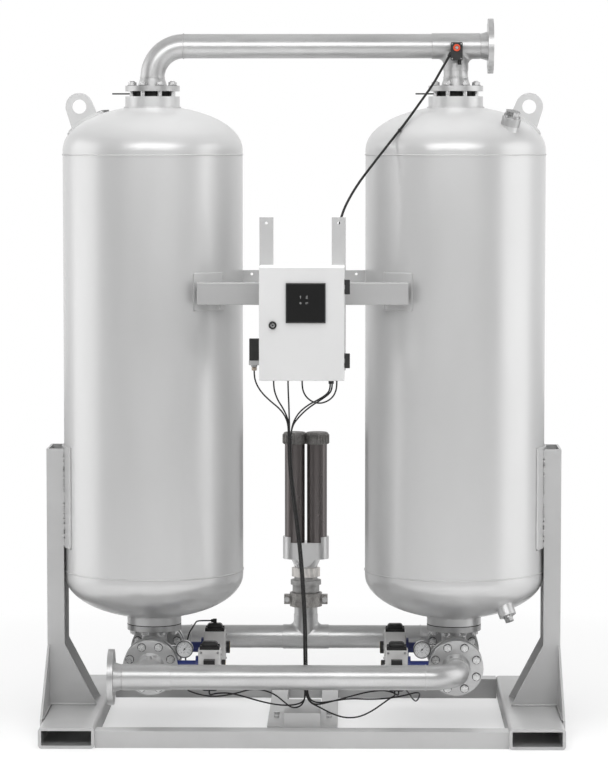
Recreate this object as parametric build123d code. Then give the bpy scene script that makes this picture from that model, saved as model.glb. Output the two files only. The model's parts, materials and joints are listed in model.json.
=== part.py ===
from build123d import *

import math
import os

# Twin tower desiccant air dryer. Millimetres, +Z up, front of the machine at -Y.
# The origin is on the floor, midway between the towers and in the plane of their axes.

# Pipe work (nominal 80 pipe with weld neck flanges)
PIPE_RADIUS = 44.45
PIPE_WALL = 3.2
ELBOW_RADIUS = 114.3
TEE_REACH = 86.0
TEE_SWELL = 2.6
BEAD_RISE = 1.6
BEAD_WIDTH = 6.0
BEAD_ROUND = 1.2
FLANGE_RADIUS = 100.0
FLANGE_THICKNESS = 20.0
NECK_LENGTH = 50.0
HUB_RADIUS = 53.0
BOLT_CIRCLE = 80.0
BOLT_COUNT = 8
BOLT_HOLE_RADIUS = 9.0
STUD_RADIUS = 8.0
STUD_END = 4.0
TAPPED_DEPTH = 22.0
THREAD_GAP = 0.1
NUT_FLATS = 24.0
NUT_HEIGHT = 13.0
GASKET = 3.0
GASKET_RADIUS = 100.0
LOWER_STUB = 61.0
LOWER_RISE = 73.0
PIPE_HEIGHT = 241.0
INLET_OFFSET = 470.0
EXHAUST_OFFSET = 480.0

# Towers
TOWER_PITCH = 1110.0
SHELL_RADIUS = 330.0
SHELL_WALL = 6.0
SHELL_LENGTH = 1530.0
HEAD_STRAIGHT = 18.0
HEAD_RISE = 160.0
LOW_NOZZLE_DROP = 23.0
TOP_NOZZLE_RISE = 34.0
SEAM_RADIUS = 3.5
SEAM_SINK = 2.0
LUG_OFFSET = 268.6
LUG_LIFT = 157.0
LUG_RADIUS = 50.0
LUG_HOLE_RADIUS = 26.0
LUG_THICKNESS = 20.0
LUG_FOOT_IN = 70.0
LUG_FOOT_OUT = 24.0
LUG_PAD_IN = 84.0
LUG_PAD_OUT = 36.0
LUG_PAD_WIDTH = 110.0
PAD_THICKNESS = 8.0
PORT_AZIMUTH = -47.5
FILL_OFFSET = 279.0
FILL_TILT = 18.0
FILL_RADIUS = 33.0
FILL_BORE = 24.0
FILL_LENGTH = 34.0
FILL_HEX = 50.0
DRAIN_OFFSET = 265.0
DRAIN_TILT = 28.0
DRAIN_RADIUS = 31.5
DRAIN_BORE = 13.0
DRAIN_LENGTH = 34.0
DRAIN_HEX = 30.0
PORT_SINK = 30.0
PLUG_FLANGE = 8.0
PLUG_HEAD = 14.0
PLUG_THREAD = 16.0
BED_LENGTH = 1500.0
BED_GAP = 0.5
SCREEN_THICKNESS = 5.0
SCREEN_HOLE_RADIUS = 9.0
SCREEN_RINGS = 3
SCREEN_RING_PITCH = 85.0

# Skid
TUBE_LENGTH = 1140.0
TUBE_WIDTH = 200.0
TUBE_HEIGHT = 75.0
TUBE_WALL = 11.0
TUBE_CORNER = 14.0
BEAM_WIDTH = 80.0
BEAM_WALL = 5.0
FRONT_BEAM_HEIGHT = 60.0
FRONT_BEAM_SETBACK = 20.0
RAIL_WIDTH = 60.0
RAIL_OFFSET = 95.0
BRIDGE_LENGTH = 288.0
BRIDGE_HEIGHT = 52.0
BRIDGE_SHEET = 6.0
BRIDGE_BOLT_RADIUS = 5.0
BRIDGE_BOLT_FLATS = 17.0
BRIDGE_BOLT_INSET = 175.0
BRIDGE_BOLT_SPACING = 70.0
POST_STANDOFF = 58.0
POST_WIDTH = 200.0
POST_SHEET = 8.0
POST_TOP = 1023.0
GUSSET_TOP = 300.0
GUSSET_FOOT_LENGTH = 180.0
FIN_FOOT_Y = 406.0
WEB_LAP = 40.0
POST_PAD_LOW = 660.0
POST_PAD_HIGH = 1029.0
POST_PAD_HALF_WIDTH = 150.0
SEAT_GAP = 0.3
WELD_LEG = 7.0

# Check valves on the top nozzles
CHECK_THICKNESS = 19.0
WAFER_RADIUS = 69.0
CHECK_SEAT_BORE = 29.0
CHECK_SEAT_HEIGHT = 6.0
FLAP_RADIUS = 32.0
FLAP_THICKNESS = 5.0
FLAP_LIFT = 0.1
FLAP_PIN_OFFSET = 35.0
FLAP_PIN_HEIGHT = 14.0
FLAP_PIN_RADIUS = 2.5
FLAP_KNUCKLE_RADIUS = 4.0
FLAP_KNUCKLE_WIDTH = 20.0
FLAP_PIN_LENGTH = 52.0
RUNNING_GAP = 0.05
TAB_REACH = 147.0
TAB_WIDTH = 22.0
TAB_THICKNESS = 5.0

# Butterfly valves and their actuators
VALVE_THICKNESS = 46.0
VALVE_RADIUS = 64.0
VALVE_BORE = 40.3
DISC_GAP = 0.6
DISC_THICKNESS = 6.0
DISC_HUB_RADIUS = 9.5
STEM_RADIUS = 7.0
STEM_TAIL = 52.0
NECK_RADIUS = 20.0
NECK_PAD_RADIUS = 37.0
NECK_PAD_THICKNESS = 10.0
ACTUATOR_OUTER_X = 381.0
ACTUATOR_WIDTH = 82.0
ACTUATOR_DEPTH = 72.0
ACTUATOR_HEIGHT = 126.0
ACTUATOR_CORNER = 7.0
ACTUATOR_BORE = 10.0
CAP_HEIGHT = 28.0
CAP_FLANGE = 10.0
CAP_INSET = 5.0
CAP_DOME_INSET = 12.0
CAP_ROUND = 11.0
CAP_SCREW_RADIUS = 4.5
INDICATOR_RADIUS = 23.0
INDICATOR_THICKNESS = 13.0
PILOT_WIDTH = 30.0
PILOT_DEPTH = 26.0
PILOT_HEIGHT = 52.0
COIL_WIDTH = 40.0
COIL_DEPTH = 36.0
COIL_HEIGHT = 24.0
PILOT_TOP = 31.0
TOP_PLUG_SIZE = 14.0
TOP_PLUG_HEIGHT = 16.0

# Pressure gauges
GAUGE_X = 433.0
GAUGE_Y = -214.0
GAUGE_HEIGHT = 300.0
GAUGE_RADIUS = 31.5
GAUGE_DEPTH = 28.0
GAUGE_RIM = 3.0
GAUGE_RECESS = 9.0
LENS_THICKNESS = 2.0
LENS_GAP = 0.2
NEEDLE_LENGTH = 22.0
NEEDLE_TAIL = 8.0
NEEDLE_WIDTH = 2.2
NEEDLE_THICKNESS = 0.8
NEEDLE_LIFT = 2.0
NEEDLE_HUB_RADIUS = 3.5
NEEDLE_PIN_RADIUS = 1.2
NEEDLE_ANGLE = 45.0
GAUGE_TUBE_RADIUS = 5.0
GAUGE_TUBE_BEND = 14.0
GAUGE_TAP_Y = -125.0
TAP_RADIUS = 11.0
TAP_HEIGHT = 5.0

# Exhaust silencer
COUPLING_BOTTOM = 361.0
COUPLING_HEIGHT = 52.0
COUPLING_RADIUS = 62.0
COUPLING_HALF_WIDTH = 83.5
COUPLING_LUG_HEIGHT = 36.0
COUPLING_LUG_DEPTH = 17.0
COUPLING_SPLIT = 1.0
COUPLING_GAP = 0.25
COUPLING_BOLT_RADIUS = 6.0
COUPLING_BOLT_INSET = 11.0
COUPLING_NUT_FLATS = 19.0
COUPLING_NUT_HEIGHT = 10.0
PIPE_END_GAP = 2.0
COLLAR_BOTTOM = 418.0
COLLAR_HEIGHT = 27.0
COLLAR_RADIUS = 51.5
RING_HEIGHT = 17.0
RING_RADIUS = 58.5
NECK_HEIGHT = 13.0
HEX_HEIGHT = 35.0
HEX_FLATS = 94.0
CONE_HEIGHT = 35.0
CONE_RADIUS = 42.0
CUP_HEIGHT = 64.0
CUP_LOBE_RADIUS = 45.5
CUP_LIP = 22.0
CUP_LIP_START = 58.0
SILENCER_OFFSET = 42.5
SILENCER_RADIUS = 38.5
SILENCER_WALL = 3.0
SILENCER_LENGTH = 379.0
CAP_LOBE_RADIUS = 44.5
SILENCER_CAP_HEIGHT = 45.0
SILENCER_CAP_ROUND = 9.0

# Control cabinet and what carries it
CABINET_WIDTH = 300.0
CABINET_HEIGHT = 400.0
CABINET_BOTTOM = 1308.0
CABINET_STANDOFF = 16.0
BOX_DEPTH = 190.0
BOX_WALL = 2.0
BOX_RETURN = 16.0
DOOR_GAP = 2.0
DOOR_DEPTH = 18.0
DOOR_SHEET = 2.0
DOOR_ROUND = 3.0
HINGE_STANDOFF = 10.0
HINGE_SETBACK = 9.0
HINGE_RADIUS = 7.5
HINGE_HEIGHT = 50.0
HINGE_LOW = 1378.5
HINGE_HIGH = 1638.0
HINGE_PIN_RADIUS = 3.0
HINGE_SLIT = 0.5
HINGE_LEAF = 3.0
HINGE_LEAF_DEPTH = 30.0
HINGE_ROOT_DEPTH = 8.0
HINGE_ROOT_STEP = 4.0
HINGE_ARM = 9.0
LOCK_X = -102.0
LOCK_Z = 1504.0
LOCK_RADIUS = 14.0
LOCK_SLOT_LENGTH = 14.0
LOCK_SLOT_WIDTH = 3.0
LOCK_SLOT_DEPTH = 2.0
LOCK_PROUD = 6.0
LOCK_BARREL_RADIUS = 10.0
LOCK_BARREL_GAP = 0.08
CAM_LENGTH = 37.0
CAM_WIDTH = 14.0
CAM_THICKNESS = 3.0
CAM_GAP = 1.5
SCREEN_X = 14.0
SCREEN_Z = 1582.0
SCREEN_SIZE = 140.0
SCREEN_PROUD = 5.0
CONTROLLER_INSET = 6.0
CONTROLLER_GAP = 0.5
CONTROLLER_DEPTH = 45.0
PLATE_MARGIN = 20.0
PLATE_THICKNESS = 2.5
PLATE_STANDOFF = 8.0
PLATE_POST_RADIUS = 6.0
RAIL_BAR_WIDTH = 35.0
RAIL_BAR_DEPTH = 8.0
TERMINAL_HEIGHT = 60.0
TERMINAL_DEPTH = 45.0
ARM_WIDTH = 50.0
ARM_OVERHANG = 4.0
ARM_SHEET = 5.0
ARM_TOP = 1877.0
ARM_BOTTOM = 1330.0
ARM_HOLE_RADIUS = 5.0
ARM_HOLE_INSET = 20.0
CROSSBEAM_HALF_LENGTH = 378.0
CROSSBEAM_BOTTOM = 1564.0
CROSSBEAM_HEIGHT = 80.0
CROSSBEAM_DEPTH = 40.0
CROSSBEAM_WALL = 4.0
CROSSBEAM_ROUND = 4.0
SEAT_PAD_IN_X = 292.0
SEAT_PAD_OUT_X = 390.0
SEAT_PAD_LOW = 1542.0
SEAT_PAD_HIGH = 1673.0
SEAT_RIB_IN_X = 300.0
SEAT_RIB_OUT_X = 372.0
SEAT_RIB_INSET = 8.0
SEAT_RIB_SHEET = 8.0
SEAT_BOLT_X = 297.0
SEAT_BOLT_RADIUS = 5.0
SEAT_BOLT_LENGTH = 14.0
TIE_PLATE_THICKNESS = 8.0
TIE_PLATE_LOW = 1554.0
TIE_PLATE_HEIGHT = 120.0
TIE_HOLE_X = 192.0
TIE_HOLE_DROP = 14.0
TIE_HOLE_RADIUS = 5.0

# Cable glands and connectors
GLAND_Y = -450.0
GLAND_RADIUS = 6.5
GLAND_LENGTH = 8.0
GLAND_STEM_RADIUS = 5.0
GLAND_STEM_GAP = 0.3
GLAND_NUT = 4.0
LEAD_GLAND_X = (-101.0, -50.0, 0.0, 123.0)
WIDE_GLAND_X = 103.0
WIDE_GLAND_RADIUS = 9.5
WIDE_GLAND_LENGTH = 18.0
BACK_GLAND_X = 74.0
BACK_GLAND_Z = 1400.0
BACK_GLAND_LENGTH = 20.0
PLUG_BOX_WIDTH = 37.0
PLUG_BOX_DEPTH = 40.0
PLUG_BOX_LOW = 1375.0
PLUG_BOX_HEIGHT = 75.0
PLUG_FOOT_HEIGHT = 18.0
PLUG_FOOT_INSET = 3.0
PLUG_GLAND_OUT = 20.0
PLUG_GLAND_RADIUS = 7.5
PLUG_GLAND_LENGTH = 20.0

# Dew point sensor on the outlet tee
SENSOR_X = 555.0
SENSOR_WIDTH = 43.0
SENSOR_HEIGHT = 65.0
SENSOR_DEPTH = 40.0
SENSOR_DROP = 53.3
SENSOR_STANDOFF = 12.0
SENSOR_ROUND = 4.0
SENSOR_NIPPLE_RADIUS = 12.0
SENSOR_DIAL_RADIUS = 14.0
SENSOR_DIAL_DROP = 20.0
SENSOR_DIAL_DEPTH = 3.0
SENSOR_STUB_X = 566.0
SENSOR_STUB_RADIUS = 7.0
SENSOR_STUB_LENGTH = 16.0
SENSOR_EXIT_RADIUS = 7.0
SENSOR_EXIT_LENGTH = 16.0

# Leads: five run together down the middle from the cabinet to the valves
LEAD_DIAMETER = 5.6
BUNDLE_RADIUS = 5.3
SENSOR_CABLE_DIAMETER = 9.0
TIE_WIDTH = 5.0
TIE_THICKNESS = 1.6
TIE_GAP = 0.4

# Positions worked out from the sizes above
TOWER_X = TOWER_PITCH / 2
BORE = PIPE_RADIUS - PIPE_WALL
TEE_TOP = PIPE_HEIGHT + LOWER_RISE + NECK_LENGTH
NOZZLE_LOW = TEE_TOP + GASKET
SEAM_LOW = NOZZLE_LOW + LOW_NOZZLE_DROP + HEAD_RISE + HEAD_STRAIGHT
SEAM_HIGH = SEAM_LOW + SHELL_LENGTH
HEAD_LOW = SEAM_LOW - HEAD_STRAIGHT
HEAD_HIGH = SEAM_HIGH + HEAD_STRAIGHT
NOZZLE_HIGH = HEAD_HIGH + HEAD_RISE + TOP_NOZZLE_RISE
CHECK_TOP = NOZZLE_HIGH + CHECK_THICKNESS
OUTLET_HEIGHT = CHECK_TOP + NECK_LENGTH + ELBOW_RADIUS
TEE_FACE = TEE_REACH + LOWER_STUB + NECK_LENGTH
VALVE_FACE = TEE_FACE + VALVE_THICKNESS
VALVE_CENTRE = TEE_FACE + VALVE_THICKNESS / 2
BRANCH_END = VALVE_FACE + NECK_LENGTH
ACTUATOR_INNER_X = ACTUATOR_OUTER_X - ACTUATOR_WIDTH
SENSOR_LOW = OUTLET_HEIGHT - SENSOR_DROP
POST_OUTER_X = TOWER_X + SHELL_RADIUS + POST_STANDOFF
TUBE_OUTER_X = POST_OUTER_X - POST_SHEET
GUSSET_FOOT_X = POST_OUTER_X - GUSSET_FOOT_LENGTH
CABINET_BACK = -SHELL_RADIUS - CABINET_STANDOFF
HINGE_X = CABINET_WIDTH / 2 + HINGE_STANDOFF
ARM_OUTER_X = CABINET_WIDTH / 2 + ARM_OVERHANG
PLUG_BOX_X = -CABINET_WIDTH / 2 - PLUG_BOX_WIDTH
PLUG_GLAND_X = -CABINET_WIDTH / 2 - PLUG_GLAND_OUT
BOX_FRONT = CABINET_BACK - BOX_DEPTH
DOOR_BACK = BOX_FRONT - DOOR_GAP
DOOR_FRONT = DOOR_BACK - DOOR_DEPTH
CABINET_TOP = CABINET_BOTTOM + CABINET_HEIGHT
CROSSBEAM_FRONT = CABINET_BACK + ARM_SHEET
CROSSBEAM_BACK = CROSSBEAM_FRONT + CROSSBEAM_DEPTH
SILENCER_BASE = COLLAR_BOTTOM + COLLAR_HEIGHT + RING_HEIGHT + NECK_HEIGHT + HEX_HEIGHT
CUP_TOP = SILENCER_BASE + CONE_HEIGHT + CUP_HEIGHT
COUPLING_MIDDLE = COUPLING_BOTTOM + COUPLING_HEIGHT / 2


def rod(start, end, radius):
    """A round bar between two points."""
    run = Vector(*end) - Vector(*start)
    return Solid.make_cylinder(radius, run.length, Plane(origin=start, z_dir=run))


def hex_bar(start, end, flats):
    """A hexagonal bar between two points, measured across its flats."""
    run = Vector(*end) - Vector(*start)
    face = Plane(origin=start, z_dir=run) * RegularPolygon(flats / 2, 6, major_radius=False)
    return extrude(face, run.length)


def block(x0, x1, y0, y1, z0, z1):
    """A rectangular block given by its corners."""
    size = (abs(x1 - x0), abs(y1 - y0), abs(z1 - z0))
    return Pos((x0 + x1) / 2, (y0 + y1) / 2, (z0 + z1) / 2) * Box(*size)


def slab(centre, half_width, half_height, front, back):
    """A block centred on a point given by x and z, between two depths along y."""
    x, z = centre
    return block(x - half_width, x + half_width, front, back, z - half_height, z + half_height)


def pipe_path(*points):
    """The centre line of a pipe with elbows at its inner points."""
    if len(points) == 2:
        return Line(*points)
    return FilletPolyline(*points, radius=ELBOW_RADIUS)


def pipe_solid(points, radius):
    """A round bar along a pipe's centre line."""
    start = Vector(*points[0])
    section = Plane(origin=start, z_dir=Vector(*points[1]) - start) * Circle(radius)
    return sweep(section, path=pipe_path(*points))


def around_circle(count, first):
    """Angles in degrees of a bolt circle."""
    return [first + 360 * i / count for i in range(count)]


def bolt_places(face, radius=BOLT_CIRCLE):
    """Centres of a flange's bolts in the plane of its face, straddling the centre lines."""
    first = 180 / BOLT_COUNT
    places = []
    for angle in around_circle(BOLT_COUNT, first):
        turn = math.radians(angle)
        places.append(face.from_local_coords(Vector(radius * math.cos(turn), radius * math.sin(turn), 0)))
    return places


def weld_neck(face):
    """A weld neck flange: the plane is its sealing face, looking away from the pipe."""
    back = face.z_dir * -1
    origin = face.origin
    flange_back = origin + back * FLANGE_THICKNESS
    neck_end = origin + back * NECK_LENGTH
    flange = rod(origin, flange_back, FLANGE_RADIUS)
    hub_length = NECK_LENGTH - FLANGE_THICKNESS
    hub = Solid.make_cone(HUB_RADIUS, PIPE_RADIUS, hub_length, Plane(origin=flange_back, z_dir=back))
    body = flange + hub
    for place in bolt_places(face):
        body -= rod(place + face.z_dir, place + back * (FLANGE_THICKNESS + 1), BOLT_HOLE_RADIUS)
    return body + weld_bead(neck_end, (back.X, back.Y, back.Z))


def weld_bead(centre, direction):
    """The raised ring that a pipe weld leaves."""
    way = Vector(*direction).normalized() * (BEAD_WIDTH / 2)
    middle = Vector(*centre)
    ring = rod(middle - way, middle + way, PIPE_RADIUS + BEAD_RISE)
    return fillet(ring.edges().filter_by(GeomType.CIRCLE), BEAD_ROUND)


def tee_body(centre, run, branch, rise=TEE_REACH):
    """A forged tee: slightly thicker than its pipe, its branch cut to the given length."""
    swell = PIPE_RADIUS + TEE_SWELL
    middle = Vector(*centre)
    run_bar = rod(middle - run * TEE_REACH, middle + run * TEE_REACH, swell)
    branch_bar = rod(middle, middle + branch * rise, swell - 1)
    body = run_bar + branch_bar
    for direction, reach in ((run, TEE_REACH), (run * -1, TEE_REACH), (branch, rise)):
        end = middle + direction * reach
        body += weld_bead((end.X, end.Y, end.Z), (direction.X, direction.Y, direction.Z))
    return body


def stud(start, end, nuts):
    """A stud bolt with hexagonal nuts, each given by its two end points."""
    body = rod(start, end, STUD_RADIUS)
    for nut_start, nut_end in nuts:
        body += hex_bar(nut_start, nut_end, NUT_FLATS)
    return body


def mirrored(shape):
    """The same shape on the other side of the machine."""
    return mirror(shape, about=Plane.YZ)


def turned(shape):
    """The same shape turned half a turn about the machine's upright axis."""
    return Rot(0, 0, 180) * shape


def rounded_tube(length, width, height, wall, corner):
    """A rectangular hollow section along Y, standing on the floor at X = 0."""
    outer = RectangleRounded(width, height, corner)
    inner = RectangleRounded(width - 2 * wall, height - 2 * wall, max(corner - wall, 1.0))
    plane = Plane(origin=(0, -length / 2, height / 2), x_dir=(1, 0, 0), z_dir=(0, 1, 0))
    section = plane * (outer - inner)
    return extrude(section, length)


def head_height(offset, rise=HEAD_RISE, radius=SHELL_RADIUS):
    """How far a point of a dished head lies above its rim, at an offset from the axis."""
    return rise * math.sqrt(1 - (offset / radius) ** 2)


def vessel_core(radius, rise, low, high, axis_x):
    """A closed cylinder with two dished heads, turned about an upright axis."""
    top_arc = EllipticalCenterArc((0, high), radius, rise, 0, arc_size=90)
    low_arc = EllipticalCenterArc((0, low), radius, rise, 270, arc_size=90)
    wall = Line((radius, low), (radius, high))
    axis = Line((0, high + rise), (0, low - rise))
    face = Plane.XZ * make_face([low_arc, wall, top_arc, axis])
    return Pos(axis_x, 0, 0) * revolve(face, Axis.Z)


def port_frame(offset, tilt, side):
    """Where a port stands on a head and which way it points: side is 1 for the top, -1 below."""
    azimuth = math.radians(PORT_AZIMUTH)
    lean = math.radians(tilt)
    rim = HEAD_HIGH if side > 0 else HEAD_LOW
    outward = Vector(math.cos(azimuth), math.sin(azimuth), 0)
    base = Vector(TOWER_X, 0, rim + side * head_height(offset)) + outward * offset
    direction = outward * math.sin(lean) + Vector(0, 0, side * math.cos(lean))
    return base, direction


FILL_PORT = port_frame(FILL_OFFSET, FILL_TILT, 1)
DRAIN_PORT = port_frame(DRAIN_OFFSET, DRAIN_TILT, -1)


def lifting_lug():
    """A flat eye on the outer shoulder of the tower."""
    eye_x = TOWER_X + LUG_OFFSET
    eye_z = HEAD_HIGH + LUG_LIFT
    inner_x = TOWER_X + LUG_OFFSET - LUG_FOOT_IN
    outer_x = TOWER_X + LUG_OFFSET + LUG_FOOT_OUT
    inner_z = HEAD_HIGH + head_height(LUG_OFFSET - LUG_FOOT_IN) - PAD_THICKNESS
    outer_z = HEAD_HIGH + head_height(LUG_OFFSET + LUG_FOOT_OUT) - PAD_THICKNESS
    plane = Plane(origin=(0, LUG_THICKNESS / 2, 0), x_dir=(1, 0, 0), z_dir=(0, -1, 0))
    outline = make_hull(
        [
            Pos(eye_x, eye_z) * CenterArc((0, 0), LUG_RADIUS, 0, 360),
            Line((inner_x, inner_z), (outer_x, outer_z)),
        ]
    )
    plate = outline - Pos(eye_x, eye_z) * Circle(LUG_HOLE_RADIUS)
    return extrude(plane * plate, LUG_THICKNESS)


def tower():
    """The right tower without its crossbeam seat: one welded vessel."""
    body = vessel_core(SHELL_RADIUS, HEAD_RISE, HEAD_LOW, HEAD_HIGH, TOWER_X)
    pad_zone = block(
        TOWER_X + LUG_OFFSET - LUG_PAD_IN,
        TOWER_X + LUG_OFFSET + LUG_PAD_OUT,
        -LUG_PAD_WIDTH / 2,
        LUG_PAD_WIDTH / 2,
        HEAD_HIGH,
        NOZZLE_HIGH,
    )
    thick = vessel_core(
        SHELL_RADIUS + PAD_THICKNESS, HEAD_RISE + PAD_THICKNESS, HEAD_LOW, HEAD_HIGH, TOWER_X
    )
    body += thick & pad_zone
    post_pad = block(
        TOWER_X,
        TOWER_X + SHELL_RADIUS + PAD_THICKNESS,
        -POST_PAD_HALF_WIDTH,
        POST_PAD_HALF_WIDTH,
        POST_PAD_LOW,
        POST_PAD_HIGH,
    )
    body += thick & post_pad
    body += rod((TOWER_X, 0, NOZZLE_LOW), (TOWER_X, 0, HEAD_LOW), FLANGE_RADIUS)
    body += rod((TOWER_X, 0, HEAD_HIGH), (TOWER_X, 0, NOZZLE_HIGH), FLANGE_RADIUS)
    for seam in (SEAM_LOW, SEAM_HIGH):
        body += Pos(TOWER_X, 0, seam) * Torus(SHELL_RADIUS - SEAM_SINK, SEAM_RADIUS)
    body += lifting_lug()
    fill, fill_way = FILL_PORT
    drain, drain_way = DRAIN_PORT
    body += rod(fill - fill_way * PORT_SINK, fill + fill_way * FILL_LENGTH, FILL_RADIUS)
    body += rod(drain - drain_way * PORT_SINK, drain + drain_way * DRAIN_LENGTH, DRAIN_RADIUS)
    inside = vessel_core(
        SHELL_RADIUS - SHELL_WALL, HEAD_RISE - SHELL_WALL, HEAD_LOW, HEAD_HIGH, TOWER_X
    )
    body -= inside
    body -= rod((TOWER_X, 0, NOZZLE_LOW - 1), (TOWER_X, 0, NOZZLE_HIGH + 1), BORE)
    thread = FILL_BORE + THREAD_GAP
    body -= rod(fill - fill_way * 2 * PORT_SINK, fill + fill_way * (FILL_LENGTH + 1), thread)
    thread = DRAIN_BORE + THREAD_GAP
    body -= rod(drain - drain_way * 2 * PORT_SINK, drain + drain_way * (DRAIN_LENGTH + 1), thread)
    tapped = STUD_RADIUS + THREAD_GAP
    for place in bolt_places(Plane(origin=(TOWER_X, 0, NOZZLE_HIGH))):
        body -= rod(place + Vector(0, 0, 1), place - Vector(0, 0, TAPPED_DEPTH), tapped)
    for place in bolt_places(Plane(origin=(TOWER_X, 0, NOZZLE_LOW))):
        body -= rod(place - Vector(0, 0, 1), place + Vector(0, 0, TAPPED_DEPTH), tapped)
    return body


def crossbeam_seat():
    """The pad and ribs on the right tower's front that carry the crossbeam."""
    outer = SHELL_RADIUS + PAD_THICKNESS
    pad = rod((TOWER_X, 0, SEAT_PAD_LOW), (TOWER_X, 0, SEAT_PAD_HIGH), outer)
    pad &= block(SEAT_PAD_IN_X, SEAT_PAD_OUT_X, -outer, 0, SEAT_PAD_LOW, SEAT_PAD_HIGH)
    seat = pad
    top = CROSSBEAM_BOTTOM + CROSSBEAM_HEIGHT - SEAT_RIB_INSET
    low = CROSSBEAM_BOTTOM + SEAT_RIB_INSET
    for z0, z1 in ((low, low + SEAT_RIB_SHEET), (top - SEAT_RIB_SHEET, top)):
        seat += block(SEAT_RIB_IN_X, SEAT_RIB_OUT_X, CROSSBEAM_BACK, -SHELL_RADIUS / 2, z0, z1)
    return seat - rod((TOWER_X, 0, SEAT_PAD_LOW - 1), (TOWER_X, 0, SEAT_PAD_HIGH + 1), SHELL_RADIUS - 1)


def desiccant_bed():
    """The packed bead bed of the right tower."""
    low = SEAM_LOW - HEAD_STRAIGHT + SCREEN_THICKNESS
    radius = SHELL_RADIUS - SHELL_WALL - BED_GAP
    return rod((TOWER_X, 0, low), (TOWER_X, 0, low + BED_LENGTH), radius)


def bed_screen(low):
    """A drilled plate across the right tower."""
    radius = SHELL_RADIUS - SHELL_WALL - BED_GAP
    plate = rod((TOWER_X, 0, low), (TOWER_X, 0, low + SCREEN_THICKNESS), radius)
    holes = [(0, 0)]
    for ring in range(1, SCREEN_RINGS + 1):
        for angle in around_circle(6 * ring, 0):
            turn = math.radians(angle)
            out = ring * SCREEN_RING_PITCH
            holes.append((out * math.cos(turn), out * math.sin(turn)))
    for x, y in holes:
        centre = (TOWER_X + x, y, low - 1)
        plate -= rod(centre, (TOWER_X + x, y, low + SCREEN_THICKNESS + 1), SCREEN_HOLE_RADIUS)
    return plate


def screens():
    """The support screen under the bed and the one that holds it down."""
    low = SEAM_LOW - HEAD_STRAIGHT
    return [bed_screen(low), bed_screen(low + SCREEN_THICKNESS + BED_LENGTH)]


def port_plug(port, length, bore, radius, flats):
    """A flanged hexagon plug screwed into a port."""
    base, way = port
    seat = base + way * length
    plug = rod(seat - way * PLUG_THREAD, seat, bore)
    plug += rod(seat, seat + way * PLUG_FLANGE, radius)
    plug += hex_bar(seat + way * PLUG_FLANGE, seat + way * (PLUG_FLANGE + PLUG_HEAD), flats)
    return plug


def vessel_plugs():
    """Fill and drain plugs of both towers."""
    fill = port_plug(FILL_PORT, FILL_LENGTH, FILL_BORE, FILL_RADIUS - 3, FILL_HEX)
    drain = port_plug(DRAIN_PORT, DRAIN_LENGTH, DRAIN_BORE, DRAIN_HEX / 2 + 2, DRAIN_HEX)
    return [fill, drain, turned(fill), turned(drain)]


def side_tube():
    """The right side tube of the skid, open at both ends."""
    tube = rounded_tube(TUBE_LENGTH, TUBE_WIDTH, TUBE_HEIGHT, TUBE_WALL, TUBE_CORNER)
    return Pos(TUBE_OUTER_X - TUBE_WIDTH / 2, 0, 0) * tube


def skid_beam(front, height):
    """A hollow cross member between the side tubes, its front face at the given place."""
    half = TUBE_OUTER_X - TUBE_WIDTH
    beam = block(-half, half, front, front + BEAM_WIDTH, 0, height)
    inner = block(
        -half, half, front + BEAM_WALL, front + BEAM_WIDTH - BEAM_WALL, BEAM_WALL, height - BEAM_WALL
    )
    return beam - inner


FRONT_BEAM_Y = -TUBE_LENGTH / 2 + FRONT_BEAM_SETBACK
REAR_BEAM_Y = TUBE_LENGTH / 2 - BEAM_WIDTH


def centre_rail(x):
    """One of the two hollow rails that join the front and rear beams."""
    front = FRONT_BEAM_Y + BEAM_WIDTH
    low = x - RAIL_WIDTH / 2
    high = x + RAIL_WIDTH / 2
    rail = block(low, high, front, REAR_BEAM_Y, 0, FRONT_BEAM_HEIGHT)
    inner = block(
        low + BEAM_WALL, high - BEAM_WALL, front, REAR_BEAM_Y, BEAM_WALL, FRONT_BEAM_HEIGHT - BEAM_WALL
    )
    for y in bridge_bolt_rows():
        inner += rod((x, y, 0), (x, y, FRONT_BEAM_HEIGHT + 1), BRIDGE_BOLT_RADIUS + 0.5)
    return rail - inner + block(low, high, front, REAR_BEAM_Y, 0, BEAM_WALL)


def bridge_bolt_rows():
    """The places along Y of the bolts through the bridge's flanges."""
    first = FRONT_BEAM_Y + BEAM_WIDTH + BRIDGE_BOLT_INSET
    return (first, first + BRIDGE_BOLT_SPACING)


def centre_bridge():
    """A folded sheet over the centre rails with a raised middle and a closed front."""
    front = FRONT_BEAM_Y + BEAM_WIDTH
    back = front + BRIDGE_LENGTH
    half = RAIL_OFFSET - RAIL_WIDTH / 2
    edge = RAIL_OFFSET + RAIL_WIDTH / 2
    base = FRONT_BEAM_HEIGHT
    top = base + BRIDGE_HEIGHT
    sheet = BRIDGE_SHEET
    body = block(-edge, edge, front, back, base, base + sheet)
    body += block(-half, half, front, back, base, top)
    body -= block(sheet - half, half - sheet, front + sheet, back + 1, base - 1, top - sheet)
    for x in (-RAIL_OFFSET, RAIL_OFFSET):
        for y in bridge_bolt_rows():
            body -= rod((x, y, base - 1), (x, y, base + sheet + 1), BRIDGE_BOLT_RADIUS + 0.5)
    return body


def bridge_bolts():
    """The bolts that hold the bridge down."""
    top = FRONT_BEAM_HEIGHT + BRIDGE_SHEET
    bolts = []
    for x in (-RAIL_OFFSET, RAIL_OFFSET):
        for y in bridge_bolt_rows():
            bolt = rod((x, y, FRONT_BEAM_HEIGHT - BEAM_WALL - 2), (x, y, top), BRIDGE_BOLT_RADIUS)
            bolt += hex_bar((x, y, top), (x, y, top + 7), BRIDGE_BOLT_FLATS)
            bolts.append(bolt)
    return bolts


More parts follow.
